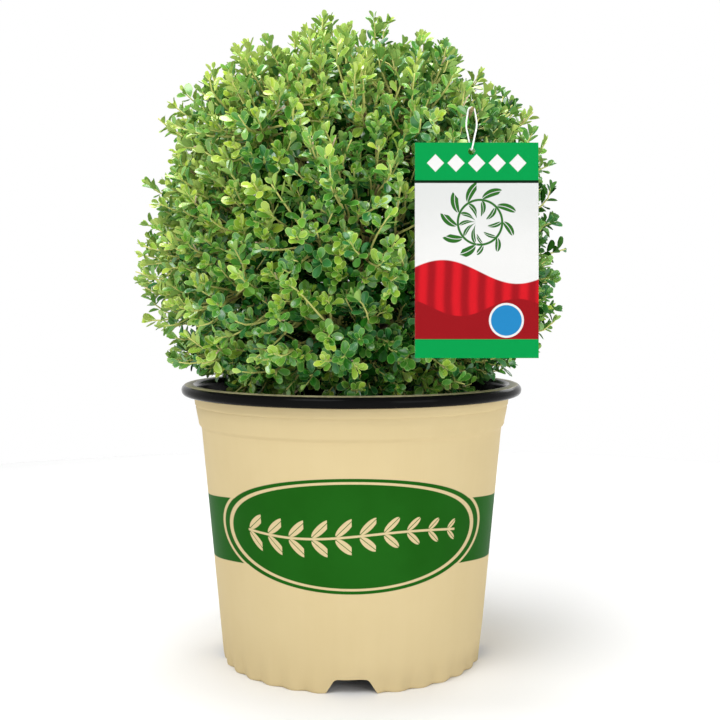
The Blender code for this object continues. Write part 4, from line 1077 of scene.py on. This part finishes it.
def model_leaf(name, rows, margin):
    """A closed leaf in its own place: stalk at the origin, tip along y, upper side up."""
    steps = len(rows) - 1
    bpy.ops.mesh.primitive_grid_add(x_subdivisions=2, y_subdivisions=steps, size=1.0)
    leaf = bpy.context.object
    for vertex in leaf.data.vertices:
        row, side = round((vertex.co.y + 0.5) * steps), round(vertex.co.x * 2)
        along, half = rows[row]
        if row == steps and side == 0:
            along -= LEAF_NOTCH
        vertex.co = (side * half * LEAF_W / 2, along * LEAF_L, FOLD * abs(side) * half)
    with editing(leaf):
        bpy.ops.mesh.remove_doubles(threshold=0.00001)
        bpy.ops.mesh.duplicate()
        bpy.ops.mesh.flip_normals()
    faces, points = leaf.data.polygons, leaf.data.vertices
    for face in faces:
        face.material_index = UNDER if face.select else BLADE
    for v in {v for face in faces if face.select for v in face.vertices}:
        # the underside bulges along its middle line, and shares the outline with the blade
        if abs(points[v].co.x) < 1e-6 and 0.0001 < points[v].co.y < LEAF_L * 0.9:
            points[v].co.z -= THICK
    with editing(leaf):
        bpy.ops.mesh.remove_doubles(threshold=MERGE)
        if not margin:
            # split over the tip's short way, or the upper and lower halves would share a triangle
            bpy.ops.mesh.quads_convert_to_tris(quad_method="SHORTEST_DIAGONAL")
    if margin:
        with editing(leaf, "FACE", lambda face: face.material_index == BLADE):
            bpy.ops.mesh.inset(thickness=MARGIN_W, depth=MARGIN_SUNK, use_boundary=True)
        for face in leaf.data.polygons:
            if face.material_index == BLADE and not face.select:
                face.material_index = MARGIN
    outward(leaf)
    arrays = taken_out(leaf)
    counts = len(arrays[0]), len(arrays[1]), np.bincount(arrays[2])
    print(f"{name}: {counts[0]} corners, {counts[1]} triangles, by material {counts[2]}")
    return arrays


outer_leaf = model_leaf("outer leaf", LEAF_ROWS, True)
inner_leaf = model_leaf("inner leaf", SHADED_ROWS, False)

# %% [markdown]
# ## Leaves along the shoots
# Leaves stand in pairs, and each pair is turned a quarter round from the last. They crowd at the tip,
# where they are small and still half closed, and open flatter further down. Each leaf turns its
# upper side to the tip and a little to the sky, and a leaf that would touch the card, the loop, the
# rim or the soil isn't grown.

# %% Places of the leaves
PAIRS = (  # distance from the shoot's tip, size, degrees between leaf and shoot
    (0.0008, 0.62, 20.0), (0.0031, 0.86, 34.0), (0.0063, 1.0, 47.0), (0.0101, 1.04, 56.0),
    (0.0143, 1.0, 62.0), (0.0188, 0.98, 66.0), (0.0235, 0.94, 68.0), (0.0284, 0.9, 70.0),
)
PAIRS_OF_LAYER = np.array([8, 6, 5, 4])
STALK, LEAF_MISSING, INNER_SIZE = 0.0011, 0.03, 0.92
SIZE_RANGE, WIDEST_AT = (0.78, 1.18), 0.6
TURN_SPREAD, OPEN_SPREAD_DEG, WAY_SPREAD, FACE_SPREAD = 0.16, 7.0, 0.15, 0.26
WAY_UP, FACE_UP, FACE_OUT = 0.06, 0.34, 0.12
SHOOT_SPARE, TIP_ROOM, INMOST = 0.002, 0.0005, len(SHOOTS)  # the last is a layer


def along_shoots(paths, distance):
    """The point and direction on each path at this distance back from its tip, and its length."""
    steps = np.linalg.norm(np.diff(paths, axis=1), axis=2)
    back = np.cumsum(steps[:, ::-1], axis=1)[:, ::-1]  # from each segment's start to the tip
    segment = np.maximum((back >= distance).sum(axis=1) - 1, 0)
    rows = np.arange(len(paths))
    a, b = paths[rows, segment], paths[rows, segment + 1]
    share = np.clip((back[rows, segment] - distance) / steps[rows, segment], 0.0, 1.0)[:, None]
    return a + (b - a) * share, unit(b - a), back[:, 0]


count = len(shoots)
phase = rng.uniform(0, math.tau, count)
grown = []  # for each pair and side: foot, direction, upper side, size, shoot and pair of the leaves
for pair, (from_tip, pair_size, open_deg) in enumerate(PAIRS):
    at, heading, whole = along_shoots(shoots, from_tip)
    has_pair = (PAIRS_OF_LAYER[layer] > pair) & (whole > from_tip + SHOOT_SPARE)
    reference = unit(np.cross(heading, np.where(np.abs(heading[:, 2:]) < 0.9, UP, RIGHT)))
    other = np.cross(heading, reference)
    for side in (0, 1):
        turn = phase + pair * math.pi / 2 + side * math.pi + rng.normal(0, TURN_SPREAD, count)
        radial = reference * np.cos(turn)[:, None] + other * np.sin(turn)[:, None]
        opening = np.radians(open_deg + rng.normal(0, OPEN_SPREAD_DEG, count))[:, None]
        direction = heading * np.cos(opening) + radial * np.sin(opening)
        direction = unit(direction + WAY_UP * UP + rng.normal(0, WAY_SPREAD, direction.shape))
        face = heading * np.sin(opening) - radial * np.cos(opening)
        face = face + FACE_UP * UP + away * FACE_OUT + rng.normal(0, FACE_SPREAD, face.shape)
        face = unit(face - (face * direction).sum(1, keepdims=True) * direction)
        keep = has_pair & (rng.uniform(size=count) > LEAF_MISSING)
        sizes = pair_size * rng.uniform(*SIZE_RANGE, keep.sum())
        foot = (at + direction * STALK)[keep]
        owners = np.nonzero(keep)[0]
        grown.append((foot, direction[keep], face[keep], sizes, owners, np.full(len(foot), pair)))
base, way, upper, size, shoot_of, pair_of = (np.concatenate(column) for column in zip(*grown))
size = size * np.where(layer[shoot_of] == INMOST, INNER_SIZE, 1.0)
across = np.cross(way, upper)
ends = base + way * (size * LEAF_L)[:, None]
widest = base + way * (size * LEAF_L * WIDEST_AT)[:, None]
half_width = across * (size * LEAF_W / 2)[:, None]
keep = ~in_the_way(ends, TIP_ROOM)
for points in (base, widest - half_width, widest + half_width):
    keep &= ~in_the_way(points)
for points in (base, ends, widest - half_width, widest + half_width):
    keep &= ~out_of_bounds(points)
base, way, upper, across = base[keep], way[keep], upper[keep], across[keep]
size, shoot_of, pair_of = size[keep], shoot_of[keep], pair_of[keep]
print("leaves:", len(base), "dropped:", int((~keep).sum()))

# %% Leaves as arrays
SLIM = (0.88, 1.12)
BEND, CUP = (-0.00035, 0.0009), (0.00035, 0.00045)  # mean and spread, in metres


def leaf_arrays(leaf, chosen):
    """Corners, triangles and kinds of the chosen leaves, each with its own bend and cup."""
    points, triangles, kinds = leaf
    n = len(chosen)
    x, y, z = points.T
    scale = size[chosen][:, None]
    slim = rng.uniform(*SLIM, (n, 1))
    bend, cup = rng.normal(*BEND, (n, 1)), rng.normal(*CUP, (n, 1))
    height = z + bend * (y / LEAF_L) ** 2 + cup * (2 * x / LEAF_W) ** 2
    shape = base[chosen][:, None] + across[chosen][:, None] * (x * scale * slim)[..., None]
    shape += way[chosen][:, None] * (y * scale)[..., None]
    shape += upper[chosen][:, None] * (height * scale)[..., None]
    return shape.reshape(-1, 3), repeated(triangles, n, len(points)), np.tile(kinds, n)


# %% [markdown]
# ## Colours dealt out by spray
# Every shoot is one spray, and its leaves share a plain colour. Sprays towards the light, near the
# top, are painted paler, as painted light; sprays on the shaded sides and inside are painted deeper,
# as painted shade, a little less so under the crown. Slow patches and a random spread vary them
# further, and a few are lime green. The youngest leaves of a spray take the next paler colour. Each
# colour has a blade, a paler margin and a dull, paler underside.

# %% Plain leaf colours
SPRAYS = (  # name, blade, its gloss, margin, underside
    # the darkest green, first, is painted shade for the inmost leaves and the most shaded sprays
    ("inner", (0.005, 0.05, 0.003), 0.1, (0.02, 0.085, 0.008), (0.022, 0.1, 0.01)),
    ("deep", (0.014, 0.115, 0.007), 0.35, (0.08, 0.24, 0.035), (0.075, 0.225, 0.04)),
    ("cool", (0.03, 0.18, 0.04), 0.7, (0.15, 0.335, 0.095), (0.115, 0.29, 0.08)),
    ("mid", (0.064, 0.25, 0.024), 0.9, (0.23, 0.445, 0.085), (0.17, 0.36, 0.07)),
    ("light", (0.148, 0.37, 0.038), 1.0, (0.37, 0.55, 0.125), (0.27, 0.44, 0.105)),
    ("fresh", (0.3, 0.495, 0.048), 1.0, (0.51, 0.65, 0.16), (0.39, 0.53, 0.13)),
    ("lime", (0.43, 0.59, 0.055), 1.0, (0.6, 0.71, 0.19), (0.48, 0.61, 0.15)),
)
LEAF_PARTS = (("blade", 0.25, 1.0), ("margin", 0.5, 0.4), ("under", 0.65, 0.25))  # roughness, gloss
LIGHT_FROM = unit(np.array([-0.55, -0.35, 0.76]))
PALENESS_LIMITS = (0.18, 0.38, 0.47, 0.6, 0.8, 1.02)  # where one colour gives way to the next
PAINTED_LIGHT_OF_LAYER = np.array([0.62, 0.52, 0.34, 0.08])
PAINTED_LIGHT_SHARE, DEEPEST_PAINTED_SHADE, FRESH_PATCHES, LESS_SHADE_UNDER, FRESH_SPREAD = 0.29, -0.35, 0.1, 0.13, 0.12
YOUNG_SHARE, OLD_SHARE, OWN_ODDS = 0.6, 0.7, (0.16, 0.68, 0.16)
YOUNG_PAIRS, OLD_PAIR, OLDEST_PAIR = 2, 4, 5  # pairs are counted from the shoot's tip, from 0
FINE_PAIRS, FINE_LAYERS = 5, 2  # leaves that show their margins
MOST_TRIANGLES = 190000  # for one piece

foliage_nodes = ["foliage_" + name for name, *_ in masses]
# painted light and shade: sprays that face the light are paler, sprays turned away are deeper
light_and_freshness = np.maximum((away * LIGHT_FROM).sum(axis=1), DEEPEST_PAINTED_SHADE) * PAINTED_LIGHT_SHARE
light_and_freshness += waves(away[:, [1, 2, 0]] * 1.7) * FRESH_PATCHES
# painted shade: the inner layers take deeper greens; the random spread is the sprays' own
light_and_freshness += rng.normal(0.0, FRESH_SPREAD, len(shoots)) + PAINTED_LIGHT_OF_LAYER[layer]
light_and_freshness += np.maximum(-away[:, 2], 0.0) * LESS_SHADE_UNDER  # sprays under the crown are painted less deep, taking back part of the painted shade there
spray = np.digitize(light_and_freshness, PALENESS_LIMITS)
young = (pair_of < YOUNG_PAIRS) & (rng.uniform(size=len(base)) < YOUNG_SHARE)
old = (pair_of >= OLD_PAIR) & (rng.uniform(size=len(base)) < OLD_SHARE)
own = rng.choice((-1, 0, 1), len(base), p=OWN_ODDS)  # no two leaves are quite alike
paler = own + young - (1 + (pair_of >= OLDEST_PAIR)) * old
colour_of = np.clip(spray[shoot_of] + paler, 0, len(SPRAYS) - 1)
# painted shade: the inmost leaves all take the darkest green
colour_of[layer[shoot_of] == INMOST] = 0
fine = (layer[shoot_of] < FINE_LAYERS) & (pair_of < FINE_PAIRS)
leaf_triangles = 0
for k, (name, blade, gloss, margin, under) in enumerate(SPRAYS):
    finishes = [
        Finish(f"leaf_{name}_{part}", gloss * share, colour, rough)
        for (part, rough, share), colour in zip(LEAF_PARTS, (blade, margin, under))
    ]
    chosen = np.nonzero(colour_of == k)[0]
    outer = fine[chosen]
    batches = ((outer_leaf, chosen[outer], ""), (inner_leaf, chosen[~outer], "_shaded"))
    for leaf, members, ending in batches:
        parts = math.ceil(len(members) * len(leaf[1]) / MOST_TRIANGLES)
        for part in range(parts):
            leaves = mesh_object(*leaf_arrays(leaf, members[part::parts]))
            name_of_part = f"leaves_{name}{ending}" + (f"_{part + 1}" if parts > 1 else "")
            finish_piece(leaves, name_of_part, foliage_nodes, finishes, crease=32)
            leaf_triangles += len(leaves.data.polygons)
print("triangles of all leaves:", leaf_triangles)

# %% Twigs, shoots and cut ends
STEM_R, STEM_TIP_R, TWIG_R, TWIG_TIP_R = BOUGH_TIP_R, 0.0012, 0.00095, 0.00065
SHOOT_R, SHOOT_TIP_R, STUB_R = 0.00068, 0.00038, 0.00048
THICKER = np.array([1.25, 1.15, 1.0, 1.0])  # by layer
CUT_SHARE, CUT_AT, STUB_L, STUB_ON, STUB_ASIDE = 0.16, 0.012, (0.005, 0.009), 0.9, 0.55

woody = [  # corners and triangles of the stems, the twigs, and the twig that carries the loop
    tubes(stems, STEM_R, STEM_TIP_R, 7), tubes(twigs, TWIG_R, TWIG_TIP_R, 6),
    tubes(hook_path[None], HOOK_R, HOOK_R, 7),
]
before = np.cumsum([0] + [len(points) for points, _ in woody])
twig_mesh = mesh_object(
    np.concatenate([points for points, _ in woody]),
    np.concatenate([triangles + shift for (_, triangles), shift in zip(woody, before)]),
)
shoot_mesh = mesh_object(*tubes(shoots, SHOOT_R, SHOOT_TIP_R, 4, THICKER[layer]))
cut = rng.uniform(size=len(shoots)) < CUT_SHARE * (layer == 1)
at, heading, _ = along_shoots(shoots[cut], CUT_AT)
aside = unit(np.cross(heading, rng.normal(size=heading.shape)))
stub = unit(heading * STUB_ON + aside * STUB_ASIDE) * rng.uniform(*STUB_L, (len(at), 1))
stubs = bezier(at, at + stub * 0.3, at + stub * 0.7, at + stub, 3)
good = ~(in_the_way(stubs).any(axis=1) | out_of_bounds(stubs).any(axis=1))
stub_mesh = mesh_object(*tubes(stubs[good], STUB_R, STUB_R, 5))

twig_bark = mottled(
    "twig_bark", 0.3, ((1.0, 420.0, 4.0),), (0.36, 0.66), ((0.16, 0.115, 0.045), (0.36, 0.29, 0.13)),
    rough=0.6, swing=0.25, metres=0.0002,
)
finish_piece(twig_mesh, "woody_twigs", foliage_nodes, [twig_bark], crease=60)
green_bark = Finish("green_shoot", specular=0.35, colour=(0.58, 0.58, 0.18))
finish_piece(shoot_mesh, "green_shoots", foliage_nodes, [green_bark], crease=75)
cut_wood = Finish("cut_wood", specular=0.3, colour=(0.62, 0.47, 0.33), rough=0.6)
finish_piece(stub_mesh, "clipped_ends", [], [cut_wood], crease=60)

# %% [markdown]
# ## The printed card and its elastic loop
# The card is a thin stiff sheet with a hole near its top. Its print is a plain design in its own UV
# coordinates: a green head with a row of white lozenges, a pale field with a green wreath, two red
# waves, a blue spot, and a green foot. The back is plain white. A white elastic loop runs through
# the hole and over a twig.

# %% The card
CARD_BOW = 0.0009  # the card bows this little across its width
bpy.ops.mesh.primitive_grid_add(x_subdivisions=8, y_subdivisions=14, size=1.0)
card = bpy.context.object
for vertex in card.data.vertices:
    vertex.co = (vertex.co.x * TAG_W, vertex.co.y * TAG_H, -TAG_T / 2)
with editing(card):
    bpy.ops.mesh.extrude_region_move(TRANSFORM_OT_translate={"value": (0.0, 0.0, TAG_T)})
outward(card)
hole = (*HOLE_AT, 0.0)
bpy.ops.mesh.primitive_cylinder_add(vertices=32, radius=HOLE_D / 2, depth=0.01, location=hole)
cut_out(card, bpy.context.object)
uv = card.data.uv_layers.new(name="card").data
for face in card.data.polygons:
    face.material_index = 1 if face.normal.z < 0.5 else 0
    for loop in face.loop_indices:
        co = card.data.vertices[card.data.loops[loop].vertex_index].co
        uv[loop].uv = (co.x / TAG_W + 0.5, co.y / TAG_H + 0.5)
for vertex in card.data.vertices:
    u, v, n = vertex.co
    n += CARD_BOW * ((2 * u / TAG_W) ** 2 - 0.4) * (0.5 - v / TAG_H)
    vertex.co = Vector(TAG_AT) + tag_turn @ Vector((u, v, n))

# %% The card's print
CARD_GREEN, CARD_RED, CARD_DARK = (0.001, 0.246, 0.053), (0.5, 0.009, 0.015), (0.003, 0.014, 0.005)
CARD_WHITE, CARD_SKY, CARD_BLUE = (0.62, 0.62, 0.61), (0.54, 0.55, 0.54), (0.015, 0.18, 0.4)
FOLD_RED, LOW_RED, WREATH_GREEN = (0.27, 0.006, 0.01), (0.24, 0.006, 0.009), (0.024, 0.11, 0.016)
LOZENGES, HEAD, STRIPE = 0.905, 0.825, 0.812  # heights as shares of the card, from its foot
WHITE_LINE, RED_TOP, RED_LOW, FOOT = 0.43, 0.4, 0.235, 0.088
WREATH_R, WREATH_V, BOLD = 0.013, 0.63, 0.62
SPOT_U, SPOT_V, SPOT_R, SPOT_EDGE_R = 0.74, 0.175, 0.009, 0.0102
SHARP, WAVE_SOFT = 0.001, 0.003

printed = Finish("card_print", specular=0.04)
flow = printed.flow
uv_map = flow.node("UVMap", {"uv_map": "card"})
u, v = (flow.node("SeparateXYZ", output=k, Vector=uv_map) for k in (0, 1))


def on_card(mid_u, mid_v):
    """Steps in metres from a point of the card."""
    return (u - mid_u) * TAG_W, (v - mid_v) * TAG_H


wave = flow.maths("SINE", u * 5.2 + 0.4) * 0.055
second_wave = flow.maths("SINE", u * 6.8 + 2.2) * 0.04
fold = flow.maths("SINE", u * 46.0 + v * 14.0 + flow.maths("SINE", v * 9.0) * 2.0)
across, up = on_card(0.5, WREATH_V)
smaller = SPRIG_HALF / (math.pi * WREATH_R)  # the sprig of the pot, bent into a wreath
round_it = flow.maths("ARCTAN2", across, up) * (WREATH_R * smaller)
wreath = sprig(flow, round_it, (length_of(across, up) - WREATH_R) * (smaller * BOLD))
spot = length_of(*on_card(SPOT_U, SPOT_V))
cell = flow.maths("FLOORED_MODULO", u * 6.0 - 0.5, 1.0) - 0.5
lozenge = (cell.size() * 0.0125 + (v - LOZENGES).size() * TAG_H).below(0.0052, 0.0003)
paint = v.ramp(0.45, 0.8).mix(CARD_WHITE, CARD_SKY)
for mask, ink in (  # each ink covers those before it
    (wreath, WREATH_GREEN),
    ((v - WHITE_LINE - wave).size().below(0.008, WAVE_SOFT), CARD_WHITE),
    (v.below(RED_TOP + wave, WAVE_SOFT), fold.ramp(-1.0, 1.0).mix(FOLD_RED, CARD_RED)),
    (v.below(RED_LOW + second_wave, WAVE_SOFT), LOW_RED),
    (spot.below(SPOT_EDGE_R, 0.0002), CARD_WHITE),
    (spot.below(SPOT_R, 0.0002), CARD_BLUE),
    (v.below(FOOT, SHARP), CARD_GREEN),
    (v.above(STRIPE, SHARP), CARD_DARK),
    (v.above(HEAD, SHARP), CARD_GREEN),
    (lozenge * (u - 0.5).size().below(0.415, WAVE_SOFT), CARD_WHITE),
):
    paint = mask.mix(paint, ink)
grain = printed.noise(1200.0, 2.0)
printed.paint(Base_Color=paint, Roughness=0.26 + grain * 0.1, Normal=grain.bump(0.00003))
plain = mottled(
    "card_back", 0.4, ((1.0, 700.0, 4.0),), (0.3, 0.7), ((0.8, 0.8, 0.78), (0.88, 0.88, 0.86)),
    rough=0.5, swing=0.15,
)
finish_piece(card, "printed_card", ["hang_tag"], [printed, plain], crease=30)

# %% The loop
SLACK = 0.0005
loop_r = LOOP_D / 2
seat, off_card = HOLE_D / 2 - loop_r - SOFT, SOFT + loop_r + SLACK
over = HOOK_R + loop_r + CLEAR
route = [  # across, up and out from the hole
    (0.0, seat, 0.0), (0.0002, seat + SOFT, off_card * 0.9),
    (0.0008, seat + 0.003, off_card * 1.25), (LOOP_HALF_W * 0.6, 0.009, off_card),
    (LOOP_HALF_W, 0.0155, off_card * 0.5), (over + SLACK, LOOP_H - 0.0025, 0.0),
]
route += [(over * math.cos(a), LOOP_H + over * math.sin(a), 0.0) for a in np.linspace(0, math.pi, 7)]
route += [(-u, v, -n) for u, v, n in route[5:0:-1]]
curve, spline = round_curve("BEZIER", loop_r, 3)
curve.resolution_u, spline.use_cyclic_u = 6, True
spline.bezier_points.add(len(route) - 1)
for point, at in zip(spline.bezier_points, route):
    point.co = on_tag(*at)
    point.handle_left_type = point.handle_right_type = "AUTO"
loop = as_mesh(curve)
outward(loop)
elastic = mottled(
    "white_elastic", 0.4, ((1.0, 1600.0, 2.0),), (0.35, 0.65),
    ((0.74, 0.75, 0.74), (0.88, 0.89, 0.88)), rough=0.48, swing=0.15,
)
finish_piece(loop, "elastic_loop", ["tag_loop"], [elastic], crease=60)
